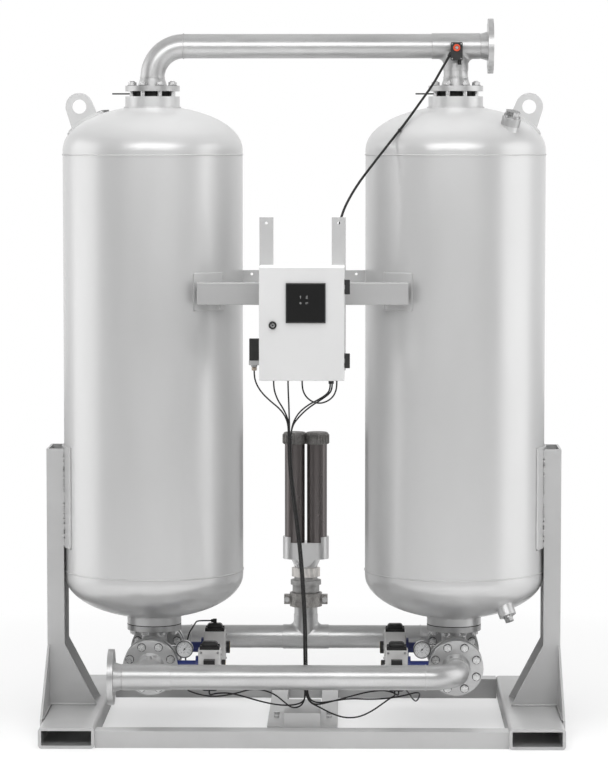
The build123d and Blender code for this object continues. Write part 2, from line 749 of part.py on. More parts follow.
def support_post():
    """The right post: a folded channel with two gussets, its web spread into fins over the side tube."""
    web = POST_OUTER_X - POST_SHEET
    half = POST_WIDTH / 2
    reach = SHELL_RADIUS + PAD_THICKNESS + SEAT_GAP
    inner_x = TOWER_X + math.sqrt(reach**2 - (half - POST_SHEET) ** 2)
    outline = [
        (web, TUBE_HEIGHT),
        (web, POST_TOP),
        (inner_x, POST_TOP),
        (inner_x, GUSSET_TOP),
        (GUSSET_FOOT_X, TUBE_HEIGHT),
    ]
    side = make_face(Polyline(*outline, close=True))
    post = extrude(Plane(origin=(0, -half, 0), x_dir=(1, 0, 0), z_dir=(0, -1, 0)) * side, -POST_SHEET)
    post += extrude(Plane(origin=(0, half, 0), x_dir=(1, 0, 0), z_dir=(0, -1, 0)) * side, POST_SHEET)
    low = TUBE_HEIGHT - WEB_LAP
    spread = [
        (-half, POST_TOP),
        (-half, GUSSET_TOP),
        (-FIN_FOOT_Y, TUBE_HEIGHT),
        (-FIN_FOOT_Y, low),
        (FIN_FOOT_Y, low),
        (FIN_FOOT_Y, TUBE_HEIGHT),
        (half, GUSSET_TOP),
        (half, POST_TOP),
    ]
    sheet = make_face(Polyline(*spread, close=True))
    post += extrude(Plane(origin=(web, 0, 0), x_dir=(0, 1, 0), z_dir=(1, 0, 0)) * sheet, POST_SHEET)
    for edge_y, out in ((-half, -1), (half, 1)):
        bead = make_face(
            Polyline(
                (edge_y, TUBE_HEIGHT),
                (edge_y + out * WELD_LEG, TUBE_HEIGHT),
                (edge_y, TUBE_HEIGHT + WELD_LEG),
                close=True,
            )
        )
        plane = Plane(origin=(GUSSET_FOOT_X + WELD_LEG, 0, 0), x_dir=(0, 1, 0), z_dir=(1, 0, 0))
        post += extrude(plane * bead, web - GUSSET_FOOT_X - WELD_LEG)
    return post


def check_valve(x):
    """A wafer check valve body on a top nozzle, with its handling tab."""
    low = (x, 0, NOZZLE_HIGH)
    top = (x, 0, CHECK_TOP)
    seat = NOZZLE_HIGH + CHECK_SEAT_HEIGHT
    body = rod(low, top, WAFER_RADIUS)
    tab_z = (NOZZLE_HIGH + CHECK_TOP) / 2
    body += block(
        x - TAB_REACH,
        x - WAFER_RADIUS + 5,
        -TAB_WIDTH / 2,
        TAB_WIDTH / 2,
        tab_z - TAB_THICKNESS / 2,
        tab_z + TAB_THICKNESS / 2,
    )
    for place in bolt_places(Plane(origin=low)):
        body -= rod(place - Vector(0, 0, 1), place + Vector(0, 0, CHECK_THICKNESS + 1), BOLT_HOLE_RADIUS)
    body -= rod((x, 0, NOZZLE_HIGH - 1), top, CHECK_SEAT_BORE)
    body -= rod((x, 0, seat), (x, 0, CHECK_TOP + 1), BORE)
    pin_x = x - FLAP_PIN_OFFSET
    pin_z = NOZZLE_HIGH + FLAP_PIN_HEIGHT
    half = FLAP_PIN_LENGTH / 2 + 1
    hole = FLAP_PIN_RADIUS + RUNNING_GAP
    return body - rod((pin_x, -half, pin_z), (pin_x, half, pin_z), hole)


def check_flap(x):
    """The swing flap of a check valve with its hinge pin."""
    low = NOZZLE_HIGH + CHECK_SEAT_HEIGHT + FLAP_LIFT
    pin_x = x - FLAP_PIN_OFFSET
    pin_z = NOZZLE_HIGH + FLAP_PIN_HEIGHT
    half = FLAP_PIN_LENGTH / 2
    wide = FLAP_KNUCKLE_WIDTH / 2
    body = rod((x, 0, low), (x, 0, low + FLAP_THICKNESS), FLAP_RADIUS)
    web_end = x - FLAP_RADIUS + 6
    body += block(pin_x + 1, web_end, -wide + 2, wide - 2, low, pin_z)
    body += rod((pin_x, -wide, pin_z), (pin_x, wide, pin_z), FLAP_KNUCKLE_RADIUS)
    return body + rod((pin_x, -half, pin_z), (pin_x, half, pin_z), FLAP_PIN_RADIUS)


def outlet_manifold():
    """The welded pipe that joins the tower tops and ends in the outlet flange."""
    left = (-TOWER_X, 0, CHECK_TOP + NECK_LENGTH / 2)
    corner = (-TOWER_X, 0, OUTLET_HEIGHT)
    face_end = (TOWER_X + TEE_REACH + NECK_LENGTH, 0, OUTLET_HEIGHT)
    end = (face_end[0] - NECK_LENGTH / 2, 0, OUTLET_HEIGHT)
    tee = (TOWER_X, 0, OUTLET_HEIGHT)
    route = (left, corner, end)
    body = pipe_solid(route, PIPE_RADIUS)
    body += tee_body(tee, Vector(1, 0, 0), Vector(0, 0, -1))
    body += rod(tee, (TOWER_X, 0, CHECK_TOP + NECK_LENGTH / 2), PIPE_RADIUS)
    body += weld_bead((-TOWER_X + ELBOW_RADIUS, 0, OUTLET_HEIGHT), (1, 0, 0))
    for x in (-TOWER_X, TOWER_X):
        body += weld_neck(Plane(origin=(x, 0, CHECK_TOP), x_dir=(1, 0, 0), z_dir=(0, 0, -1)))
    body += weld_neck(Plane(origin=face_end, x_dir=(0, 1, 0), z_dir=(1, 0, 0)))
    front = -PIPE_RADIUS - SENSOR_STANDOFF
    height = SENSOR_LOW + SENSOR_HEIGHT / 2
    body += rod((SENSOR_X, 0, height), (SENSOR_X, front, height), SENSOR_NIPPLE_RADIUS)
    body -= pipe_solid(((-TOWER_X, 0, CHECK_TOP - 1), corner, (face_end[0] + 1, 0, OUTLET_HEIGHT)), BORE)
    return body - rod((TOWER_X, 0, CHECK_TOP - 1), tee, BORE)


def lower_tee():
    """The flanged tee under the right tower, with the gauge tapping on its front stub."""
    centre = (TOWER_X, 0, PIPE_HEIGHT)
    body = rod((TOWER_X, -TEE_FACE, PIPE_HEIGHT), (TOWER_X, TEE_FACE, PIPE_HEIGHT), PIPE_RADIUS)
    body += tee_body(centre, Vector(0, 1, 0), Vector(0, 0, 1), LOWER_RISE)
    body += rod(centre, (TOWER_X, 0, TEE_TOP - NECK_LENGTH / 2), PIPE_RADIUS)
    body += weld_neck(Plane(origin=(TOWER_X, 0, TEE_TOP), x_dir=(1, 0, 0), z_dir=(0, 0, 1)))
    for way in (-1, 1):
        face = (TOWER_X, way * TEE_FACE, PIPE_HEIGHT)
        body += weld_neck(Plane(origin=face, x_dir=(1, 0, 0), z_dir=(0, way, 0)))
    tap = PIPE_HEIGHT + PIPE_RADIUS
    body += rod((TOWER_X, GAUGE_TAP_Y, PIPE_HEIGHT), (TOWER_X, GAUGE_TAP_Y, tap + TAP_HEIGHT), TAP_RADIUS)
    body -= rod((TOWER_X, -TEE_FACE - 1, PIPE_HEIGHT), (TOWER_X, TEE_FACE + 1, PIPE_HEIGHT), BORE)
    return body - rod(centre, (TOWER_X, 0, TEE_TOP + 1), BORE)


def flange_gasket(x):
    """The flat gasket between a tower's lower nozzle and its tee."""
    ring = rod((x, 0, TEE_TOP), (x, 0, NOZZLE_LOW), GASKET_RADIUS)
    ring -= rod((x, 0, TEE_TOP - 1), (x, 0, NOZZLE_LOW + 1), BORE)
    for place in bolt_places(Plane(origin=(x, 0, TEE_TOP))):
        ring -= rod(place - Vector(0, 0, 1), place + Vector(0, 0, GASKET + 1), BOLT_HOLE_RADIUS)
    return ring


def inlet_manifold():
    """The welded front pipe: inlet flange and tee at the left, elbow at the right."""
    y = -INLET_OFFSET
    inlet = (-TOWER_X - TEE_REACH - NECK_LENGTH, y, PIPE_HEIGHT)
    start = (inlet[0] + NECK_LENGTH / 2, y, PIPE_HEIGHT)
    corner = (TOWER_X, y, PIPE_HEIGHT)
    run_end = -VALVE_FACE - NECK_LENGTH / 2
    end = (TOWER_X, run_end, PIPE_HEIGHT)
    tee = (-TOWER_X, y, PIPE_HEIGHT)
    body = pipe_solid((start, corner, end), PIPE_RADIUS)
    body += tee_body(tee, Vector(1, 0, 0), Vector(0, 1, 0))
    body += rod(tee, (-TOWER_X, run_end, PIPE_HEIGHT), PIPE_RADIUS)
    body += weld_bead((TOWER_X - ELBOW_RADIUS, y, PIPE_HEIGHT), (1, 0, 0))
    body += weld_bead((TOWER_X, y + ELBOW_RADIUS, PIPE_HEIGHT), (0, 1, 0))
    plug_y = (y + TEE_REACH - BRANCH_END) / 2
    top = PIPE_HEIGHT + PIPE_RADIUS
    body += rod((-TOWER_X, plug_y, PIPE_HEIGHT), (-TOWER_X, plug_y, top + TAP_HEIGHT), TAP_RADIUS)
    body += hex_bar((-TOWER_X, plug_y, top + TAP_HEIGHT), (-TOWER_X, plug_y, top + 2 * TAP_HEIGHT), 17)
    body += weld_neck(Plane(origin=inlet, x_dir=(0, 1, 0), z_dir=(-1, 0, 0)))
    for x in (-TOWER_X, TOWER_X):
        body += weld_neck(Plane(origin=(x, -VALVE_FACE, PIPE_HEIGHT), x_dir=(1, 0, 0), z_dir=(0, 1, 0)))
    route = ((inlet[0] - 1, y, PIPE_HEIGHT), corner, (TOWER_X, -VALVE_FACE + 1, PIPE_HEIGHT))
    body -= pipe_solid(route, BORE)
    return body - rod(tee, (-TOWER_X, -VALVE_FACE + 1, PIPE_HEIGHT), BORE)


def exhaust_manifold():
    """The welded rear pipe: an elbow at each end and a tee with the riser in the middle."""
    y = EXHAUST_OFFSET
    run_end = VALVE_FACE + NECK_LENGTH / 2
    points = (
        (-TOWER_X, run_end, PIPE_HEIGHT),
        (-TOWER_X, y, PIPE_HEIGHT),
        (TOWER_X, y, PIPE_HEIGHT),
        (TOWER_X, run_end, PIPE_HEIGHT),
    )
    bore_points = (
        (-TOWER_X, VALVE_FACE - 1, PIPE_HEIGHT),
        (-TOWER_X, y, PIPE_HEIGHT),
        (TOWER_X, y, PIPE_HEIGHT),
        (TOWER_X, VALVE_FACE - 1, PIPE_HEIGHT),
    )
    riser_top = COUPLING_MIDDLE - PIPE_END_GAP / 2
    body = pipe_solid(points, PIPE_RADIUS)
    body += tee_body((0, y, PIPE_HEIGHT), Vector(1, 0, 0), Vector(0, 0, 1))
    body += rod((0, y, PIPE_HEIGHT), (0, y, riser_top), PIPE_RADIUS)
    for x in (-TOWER_X, TOWER_X):
        side = math.copysign(1, x)
        body += weld_bead((x - side * ELBOW_RADIUS, y, PIPE_HEIGHT), (1, 0, 0))
        body += weld_bead((x, y - ELBOW_RADIUS, PIPE_HEIGHT), (0, 1, 0))
        body += weld_neck(Plane(origin=(x, VALVE_FACE, PIPE_HEIGHT), x_dir=(1, 0, 0), z_dir=(0, -1, 0)))
    body -= pipe_solid(bore_points, BORE)
    return body - rod((0, y, PIPE_HEIGHT), (0, y, riser_top + 1), BORE)


def upper_bolts():
    """Studs that clamp the outlet manifold and the check valves to the towers."""
    flange_top = CHECK_TOP + FLANGE_THICKNESS
    nut_top = flange_top + NUT_HEIGHT
    studs = []
    for x in (-TOWER_X, TOWER_X):
        for place in bolt_places(Plane(origin=(x, 0, 0))):
            at = (place.X, place.Y)
            low = (*at, NOZZLE_HIGH - TAPPED_DEPTH + 2)
            nut = ((*at, flange_top), (*at, nut_top))
            studs.append(stud(low, (*at, nut_top + STUD_END), [nut]))
    return studs


def lower_bolts():
    """Studs under the towers and through the four butterfly valves."""
    studs = []
    nut_top = TEE_TOP - FLANGE_THICKNESS
    nut_low = nut_top - NUT_HEIGHT
    for x in (-TOWER_X, TOWER_X):
        for place in bolt_places(Plane(origin=(x, 0, 0))):
            at = (place.X, place.Y)
            high = (*at, NOZZLE_LOW + TAPPED_DEPTH - 2)
            nut = ((*at, nut_low), (*at, nut_top))
            studs.append(stud((*at, nut_low - STUD_END), high, [nut]))
    inner = TEE_FACE - FLANGE_THICKNESS
    outer = VALVE_FACE + FLANGE_THICKNESS
    for x in (-TOWER_X, TOWER_X):
        for way in (-1, 1):
            face = Plane(origin=(x, 0, PIPE_HEIGHT), x_dir=(1, 0, 0), z_dir=(0, 1, 0))
            for place in bolt_places(face):
                near = way * (inner - NUT_HEIGHT)
                far = way * (outer + NUT_HEIGHT)
                start = (place.X, near - way * STUD_END, place.Z)
                end = (place.X, far + way * STUD_END, place.Z)
                inner_nut = ((place.X, near, place.Z), (place.X, way * inner, place.Z))
                outer_nut = ((place.X, way * outer, place.Z), (place.X, far, place.Z))
                studs.append(stud(start, end, [inner_nut, outer_nut]))
    return studs


def valve_body(side, way):
    """A wafer butterfly valve body: side is -1 left or 1 right, way is -1 front or 1 rear."""
    x = side * TOWER_X
    y = way * VALVE_CENTRE
    near = (x, way * TEE_FACE, PIPE_HEIGHT)
    far = (x, way * VALVE_FACE, PIPE_HEIGHT)
    body = rod(near, far, VALVE_RADIUS)
    pad_start = (side * ACTUATOR_OUTER_X, y, PIPE_HEIGHT)
    pad_end = (side * (ACTUATOR_OUTER_X + NECK_PAD_THICKNESS), y, PIPE_HEIGHT)
    neck = rod(pad_start, (x, y, PIPE_HEIGHT), NECK_RADIUS)
    neck += rod(pad_start, pad_end, NECK_PAD_RADIUS)
    depth = min(VALVE_THICKNESS, 2 * NECK_RADIUS)
    neck &= block(-2 * TOWER_X, 2 * TOWER_X, y - depth / 2, y + depth / 2, 0, 2 * PIPE_HEIGHT)
    neck += rod(pad_start, pad_end, NECK_PAD_RADIUS)
    body += neck
    body -= rod((x, way * (TEE_FACE - 1), PIPE_HEIGHT), (x, way * (VALVE_FACE + 1), PIPE_HEIGHT), VALVE_BORE)
    stem_end = side * (TOWER_X + STEM_TAIL + 1)
    stem_hole = STEM_RADIUS + RUNNING_GAP
    body -= rod((side * ACTUATOR_INNER_X, y, PIPE_HEIGHT), (stem_end, y, PIPE_HEIGHT), stem_hole)
    return body


def valve_disc(side, way):
    """A butterfly disc on its stem, which runs through the actuator to the position indicator."""
    x = side * TOWER_X
    y = way * VALVE_CENTRE
    radius = VALVE_BORE - DISC_GAP
    half = DISC_THICKNESS / 2
    body = rod((x, y - half, PIPE_HEIGHT), (x, y + half, PIPE_HEIGHT), radius)
    hub = radius - 4
    body += rod((x - hub, y, PIPE_HEIGHT), (x + hub, y, PIPE_HEIGHT), DISC_HUB_RADIUS)
    tail = (side * (TOWER_X + STEM_TAIL), y, PIPE_HEIGHT)
    knob = ACTUATOR_INNER_X - SEAT_GAP
    body += rod(tail, (side * knob, y, PIPE_HEIGHT), STEM_RADIUS)
    end = (side * (knob - INDICATOR_THICKNESS), y, PIPE_HEIGHT)
    return body + rod((side * knob, y, PIPE_HEIGHT), end, INDICATOR_RADIUS)


def actuator_body(side, way):
    """The upright housing of a rack and pinion actuator."""
    y = way * VALVE_CENTRE
    low = PIPE_HEIGHT - ACTUATOR_HEIGHT / 2
    high = PIPE_HEIGHT + ACTUATOR_HEIGHT / 2
    half = ACTUATOR_DEPTH / 2
    x0 = side * ACTUATOR_INNER_X
    x1 = side * ACTUATOR_OUTER_X
    body = block(x0, x1, y - half, y + half, low, high)
    body = fillet(body.edges().filter_by(Axis.Z), ACTUATOR_CORNER)
    return body - rod((x0 - side, y, PIPE_HEIGHT), (x1 + side, y, PIPE_HEIGHT), ACTUATOR_BORE)


def actuator_cap(side, way, up):
    """An end cap of an actuator: a flange with a domed crown and four screws."""
    x = side * (ACTUATOR_INNER_X + ACTUATOR_OUTER_X) / 2
    y = way * VALVE_CENTRE
    base = PIPE_HEIGHT + up * ACTUATOR_HEIGHT / 2
    half_x = ACTUATOR_WIDTH / 2 - CAP_INSET
    half_y = ACTUATOR_DEPTH / 2 - CAP_INSET
    low = block(x - half_x, x + half_x, y - half_y, y + half_y, base, base + up * CAP_FLANGE)
    dome_x = ACTUATOR_WIDTH / 2 - CAP_DOME_INSET
    dome_y = ACTUATOR_DEPTH / 2 - CAP_DOME_INSET
    crown = block(x - dome_x, x + dome_x, y - dome_y, y + dome_y, base, base + up * CAP_HEIGHT)
    tip = crown.faces().sort_by(Axis.Z)[-1 if up > 0 else 0]
    crown = fillet(tip.edges() + crown.edges().filter_by(Axis.Z), CAP_ROUND)
    body = low + crown
    reach_x = half_x - CAP_SCREW_RADIUS - 1
    reach_y = half_y - CAP_SCREW_RADIUS - 1
    for sx in (-1, 1):
        for sy in (-1, 1):
            at = (x + sx * reach_x, y + sy * reach_y)
            start = (*at, base + up * CAP_FLANGE)
            body += rod(start, (*at, base + up * (CAP_FLANGE + 4)), CAP_SCREW_RADIUS)
    return body


def pilot_valve(side, way):
    """The small solenoid valve on the outer face of an actuator."""
    x = side * (ACTUATOR_INNER_X + ACTUATOR_OUTER_X) / 2
    face = way * (VALVE_CENTRE + ACTUATOR_DEPTH / 2)
    top = PIPE_HEIGHT + PILOT_TOP
    coil_low = top - COIL_HEIGHT
    half = COIL_WIDTH / 2
    coil = block(x - half, x + half, face, face + way * COIL_DEPTH, coil_low, top)
    half = PILOT_WIDTH / 2
    low = coil_low - PILOT_HEIGHT
    return coil + block(x - half, x + half, face, face + way * PILOT_DEPTH, low, coil_low)


def top_plug():
    """The elbow connector on the cap of the left rear actuator."""
    x = -(ACTUATOR_INNER_X + ACTUATOR_OUTER_X) / 2
    y = VALVE_CENTRE
    base = PIPE_HEIGHT + ACTUATOR_HEIGHT / 2 + CAP_HEIGHT
    half = TOP_PLUG_SIZE / 2
    body = block(x - half, x + half, y - half, y + half, base, base + TOP_PLUG_HEIGHT)
    height = base + TOP_PLUG_HEIGHT - half
    return body + rod((x, y, height), (x - TOP_PLUG_SIZE, y, height), half - 1)


def gauge_case(side):
    """A pressure gauge: round case with its dial, and the pipe from its back to the tapping."""
    x = side * GAUGE_X
    back = GAUGE_Y + GAUGE_DEPTH
    z = GAUGE_HEIGHT
    inner = GAUGE_RADIUS - GAUGE_RIM
    body = rod((x, GAUGE_Y, z), (x, back, z), GAUGE_RADIUS)
    body -= rod((x, GAUGE_Y - 1, z), (x, GAUGE_Y + GAUGE_RECESS, z), inner)
    pin = NEEDLE_PIN_RADIUS + RUNNING_GAP
    body -= rod((x, GAUGE_Y, z), (x, GAUGE_Y + GAUGE_RECESS + 4, z), pin)
    tap_x = side * TOWER_X
    tap_z = PIPE_HEIGHT + PIPE_RADIUS + TAP_HEIGHT
    points = ((x, back, z), (x, GAUGE_TAP_Y, z), (tap_x, GAUGE_TAP_Y, z), (tap_x, GAUGE_TAP_Y, tap_z))
    bends = [GAUGE_TUBE_BEND, min(GAUGE_TUBE_BEND, (z - tap_z) * 0.8)]
    section = Plane(origin=points[0], z_dir=(0, 1, 0)) * Circle(GAUGE_TUBE_RADIUS)
    return body + sweep(section, path=FilletPolyline(*points, radius=bends))


def gauge_needle(side):
    """The needle of a gauge on its pin, pointing up and to the right."""
    x = side * GAUGE_X
    dial = GAUGE_Y + GAUGE_RECESS
    front = dial - NEEDLE_LIFT
    turn = math.radians(NEEDLE_ANGLE)
    along = Vector(math.sin(turn), 0, math.cos(turn))
    across = Vector(math.cos(turn), 0, -math.sin(turn))
    centre = Vector(x, front, GAUGE_HEIGHT)
    tip = centre + along * NEEDLE_LENGTH
    tail = centre - along * NEEDLE_TAIL
    wide = across * (NEEDLE_WIDTH / 2)
    outline = Polyline(tip + wide * 0.3, tip - wide * 0.3, tail - wide, tail + wide, close=True)
    blade = extrude(make_face(outline), NEEDLE_THICKNESS, dir=(0, -1, 0))
    hub_front = (x, front - NEEDLE_THICKNESS - 0.8, GAUGE_HEIGHT)
    hub = rod(hub_front, (x, front, GAUGE_HEIGHT), NEEDLE_HUB_RADIUS)
    pin = rod((x, front, GAUGE_HEIGHT), (x, dial + 3, GAUGE_HEIGHT), NEEDLE_PIN_RADIUS)
    return blade + hub + pin


def gauge_lens(side):
    """The flat window of a gauge."""
    x = side * GAUGE_X
    radius = GAUGE_RADIUS - GAUGE_RIM - LENS_GAP
    start = GAUGE_Y + 0.6
    return rod((x, start, GAUGE_HEIGHT), (x, start + LENS_THICKNESS, GAUGE_HEIGHT), radius)


def lobes(radius, low, high):
    """Two upright round bars side by side on the silencer's centre line."""
    bars = [
        rod((x, EXHAUST_OFFSET, low), (x, EXHAUST_OFFSET, high), radius)
        for x in (-SILENCER_OFFSET, SILENCER_OFFSET)
    ]
    return bars[0] + bars[1]


def coupling_half(way):
    """One half of the grooved pipe coupling, with a bolt lug at each end."""
    y = EXHAUST_OFFSET
    low = COUPLING_BOTTOM
    high = COUPLING_BOTTOM + COUPLING_HEIGHT
    body = rod((0, y, low), (0, y, high), COUPLING_RADIUS)
    lug_low = COUPLING_MIDDLE - COUPLING_LUG_HEIGHT / 2
    lug_high = COUPLING_MIDDLE + COUPLING_LUG_HEIGHT / 2
    wide = COUPLING_HALF_WIDTH
    body += block(-wide, wide, y - COUPLING_LUG_DEPTH, y + COUPLING_LUG_DEPTH, lug_low, lug_high)
    body -= rod((0, y, low - 1), (0, y, high + 1), PIPE_RADIUS + COUPLING_GAP)
    for x in (-1, 1):
        at = x * (wide - COUPLING_BOLT_INSET)
        reach = COUPLING_LUG_DEPTH + 1
        start = (at, y - reach, COUPLING_MIDDLE)
        body -= rod(start, (at, y + reach, COUPLING_MIDDLE), COUPLING_BOLT_RADIUS + 0.4)
    edge = y + way * COUPLING_SPLIT
    keep = block(-2 * wide, 2 * wide, edge, edge + way * 2 * COUPLING_RADIUS, low, high)
    return body & keep


def coupling_bolt(side):
    """A bolt through the coupling lugs with a head and a nut."""
    x = side * (COUPLING_HALF_WIDTH - COUPLING_BOLT_INSET)
    y = EXHAUST_OFFSET
    z = COUPLING_MIDDLE
    reach = COUPLING_LUG_DEPTH
    body = rod((x, y - reach, z), (x, y + reach + COUPLING_NUT_HEIGHT + 4, z), COUPLING_BOLT_RADIUS)
    body += hex_bar((x, y - reach - COUPLING_NUT_HEIGHT, z), (x, y - reach, z), COUPLING_NUT_FLATS)
    return body + hex_bar((x, y + reach, z), (x, y + reach + COUPLING_NUT_HEIGHT, z), COUPLING_NUT_FLATS)


def coupling_bolts():
    """The two bolts that close the coupling."""
    return [coupling_bolt(-1), coupling_bolt(1)]


def silencer_nipple():
    """The threaded adaptor between the coupling and the silencer base."""
    y = EXHAUST_OFFSET
    steps = (
        (COUPLING_MIDDLE + PIPE_END_GAP / 2, COLLAR_BOTTOM, PIPE_RADIUS),
        (COLLAR_BOTTOM, COLLAR_BOTTOM + COLLAR_HEIGHT, COLLAR_RADIUS),
        (COLLAR_BOTTOM + COLLAR_HEIGHT, COLLAR_BOTTOM + COLLAR_HEIGHT + RING_HEIGHT, RING_RADIUS),
        (COLLAR_BOTTOM + COLLAR_HEIGHT + RING_HEIGHT, SILENCER_BASE - HEX_HEIGHT, PIPE_RADIUS),
    )
    bars = [rod((0, y, low), (0, y, high), radius) for low, high, radius in steps]
    body = bars[0] + bars[1] + bars[2] + bars[3]
    body += hex_bar((0, y, SILENCER_BASE - HEX_HEIGHT), (0, y, SILENCER_BASE), HEX_FLATS)
    return body - rod((0, y, COUPLING_BOTTOM), (0, y, SILENCER_BASE + 1), CONE_RADIUS - 8)


def silencer_base():
    """The cast cup that carries the two silencer tubes."""
    y = EXHAUST_OFFSET
    cup = SILENCER_BASE + CONE_HEIGHT
    cone_top = min(CUP_LOBE_RADIUS + 12, SILENCER_OFFSET + CUP_LOBE_RADIUS)
    body = Solid.make_cone(CONE_RADIUS, cone_top, CONE_HEIGHT, Plane(origin=(0, y, SILENCER_BASE)))
    wide = SILENCER_OFFSET
    keep = block(-2 * cone_top, 2 * cone_top, y - CUP_LOBE_RADIUS, y + CUP_LOBE_RADIUS, SILENCER_BASE, cup)
    body = body & keep
    body += lobes(CUP_LOBE_RADIUS, cup, CUP_TOP)
    body += block(-wide, wide, y - CUP_LOBE_RADIUS, y + CUP_LOBE_RADIUS, cup, CUP_TOP)
    lip = lobes(CUP_LOBE_RADIUS, CUP_TOP, CUP_TOP + CUP_LIP)
    lip -= lobes(SILENCER_RADIUS + SEAT_GAP, CUP_TOP - 1, CUP_TOP + CUP_LIP + 1)
    reach = SILENCER_OFFSET + CUP_LOBE_RADIUS
    depth = CUP_LOBE_RADIUS
    for side in (-1, 1):
        x0 = side * CUP_LIP_START
        body += lip & block(x0, side * reach, y - depth, y + depth, CUP_TOP, CUP_TOP + CUP_LIP)
    hollow = SILENCER_RADIUS - SILENCER_WALL - 4
    body -= rod((0, y, SILENCER_BASE - 1), (0, y, cup + CUP_HEIGHT / 2), CONE_RADIUS - 8)
    body -= block(-wide, wide, y - hollow / 2, y + hollow / 2, cup + 12, cup + CUP_HEIGHT / 2)
    return body - lobes(hollow, cup + 12, CUP_TOP + 1)


def silencer_tube(x):
    """A silencer tube, open at the bottom and capped at the top."""
    low = (x, EXHAUST_OFFSET, CUP_TOP)
    high = (x, EXHAUST_OFFSET, CUP_TOP + SILENCER_LENGTH)
    return rod(low, high, SILENCER_RADIUS) - rod(low, high, SILENCER_RADIUS - SILENCER_WALL)


def silencer_cap():
    """The double cap on top of the silencer tubes."""
    low = CUP_TOP + SILENCER_LENGTH
    high = low + SILENCER_CAP_HEIGHT
    bars = []
    for x in (-SILENCER_OFFSET, SILENCER_OFFSET):
        bar = rod((x, EXHAUST_OFFSET, low), (x, EXHAUST_OFFSET, high), CAP_LOBE_RADIUS)
        bars.append(fillet(bar.edges().sort_by(Axis.Z)[-1:], SILENCER_CAP_ROUND))
    return bars[0] + bars[1]


def crossbeam():
    """The hollow bar between the towers that carries the cabinet."""
    section = RectangleRounded(CROSSBEAM_DEPTH, CROSSBEAM_HEIGHT, CROSSBEAM_ROUND)
    inner = CROSSBEAM_ROUND / 2
    section -= RectangleRounded(
        CROSSBEAM_DEPTH - 2 * CROSSBEAM_WALL, CROSSBEAM_HEIGHT - 2 * CROSSBEAM_WALL, inner
    )
    middle_y = (CROSSBEAM_FRONT + CROSSBEAM_BACK) / 2
    middle_z = CROSSBEAM_BOTTOM + CROSSBEAM_HEIGHT / 2
    start = (-CROSSBEAM_HALF_LENGTH, middle_y, middle_z)
    plane = Plane(origin=start, x_dir=(0, 1, 0), z_dir=(1, 0, 0))
    body = extrude(plane * section, 2 * CROSSBEAM_HALF_LENGTH)
    for x in (-SEAT_BOLT_X, SEAT_BOLT_X):
        top = (x, middle_y, CROSSBEAM_BOTTOM + CROSSBEAM_WALL)
        body += rod((x, middle_y, CROSSBEAM_BOTTOM - SEAT_BOLT_LENGTH), top, SEAT_BOLT_RADIUS)
    return body


def tie_plate():
    """The upright plate welded between the towers behind the crossbeam."""
    half = TOWER_X - SHELL_RADIUS - SEAT_GAP
    thick = TIE_PLATE_THICKNESS / 2
    top = TIE_PLATE_LOW + TIE_PLATE_HEIGHT
    plate = block(-half, half, -thick, thick, TIE_PLATE_LOW, top)
    for x in (-TIE_HOLE_X, TIE_HOLE_X):
        z = top - TIE_HOLE_DROP
        plate -= rod((x, -thick - 1, z), (x, thick + 1, z), TIE_HOLE_RADIUS)
    return plate


def cabinet_arm(side):
    """An upright strap from the crossbeam to the back of the cabinet."""
    outer = side * ARM_OUTER_X
    inner = side * (ARM_OUTER_X - ARM_WIDTH)
    strap = block(inner, outer, CABINET_BACK, CROSSBEAM_FRONT, ARM_BOTTOM, ARM_TOP)
    x = (inner + outer) / 2
    z = ARM_TOP - ARM_HOLE_INSET
    return strap - rod((x, CABINET_BACK - 1, z), (x, CROSSBEAM_FRONT + 1, z), ARM_HOLE_RADIUS)


def cabinet_box():
    """The steel cabinet, open at the front, with holes for the glands."""
    half = CABINET_WIDTH / 2
    wall = BOX_WALL
    low = CABINET_BOTTOM
    top = CABINET_TOP
    body = block(-half, half, BOX_FRONT, CABINET_BACK, low, top)
    body -= block(-half + wall, half - wall, BOX_FRONT + wall, CABINET_BACK - wall, low + wall, top - wall)
    rim = BOX_RETURN
    body -= block(-half + rim, half - rim, BOX_FRONT - 1, BOX_FRONT + wall + 1, low + rim, top - rim)
    hole = GLAND_STEM_RADIUS + GLAND_STEM_GAP
    for x in LEAD_GLAND_X + (WIDE_GLAND_X,):
        body -= rod((x, GLAND_Y, low - 1), (x, GLAND_Y, low + wall + 1), hole)
    back = (BACK_GLAND_X, CABINET_BACK + 1, BACK_GLAND_Z)
    return body - rod(back, (BACK_GLAND_X, CABINET_BACK - wall - 1, BACK_GLAND_Z), hole)


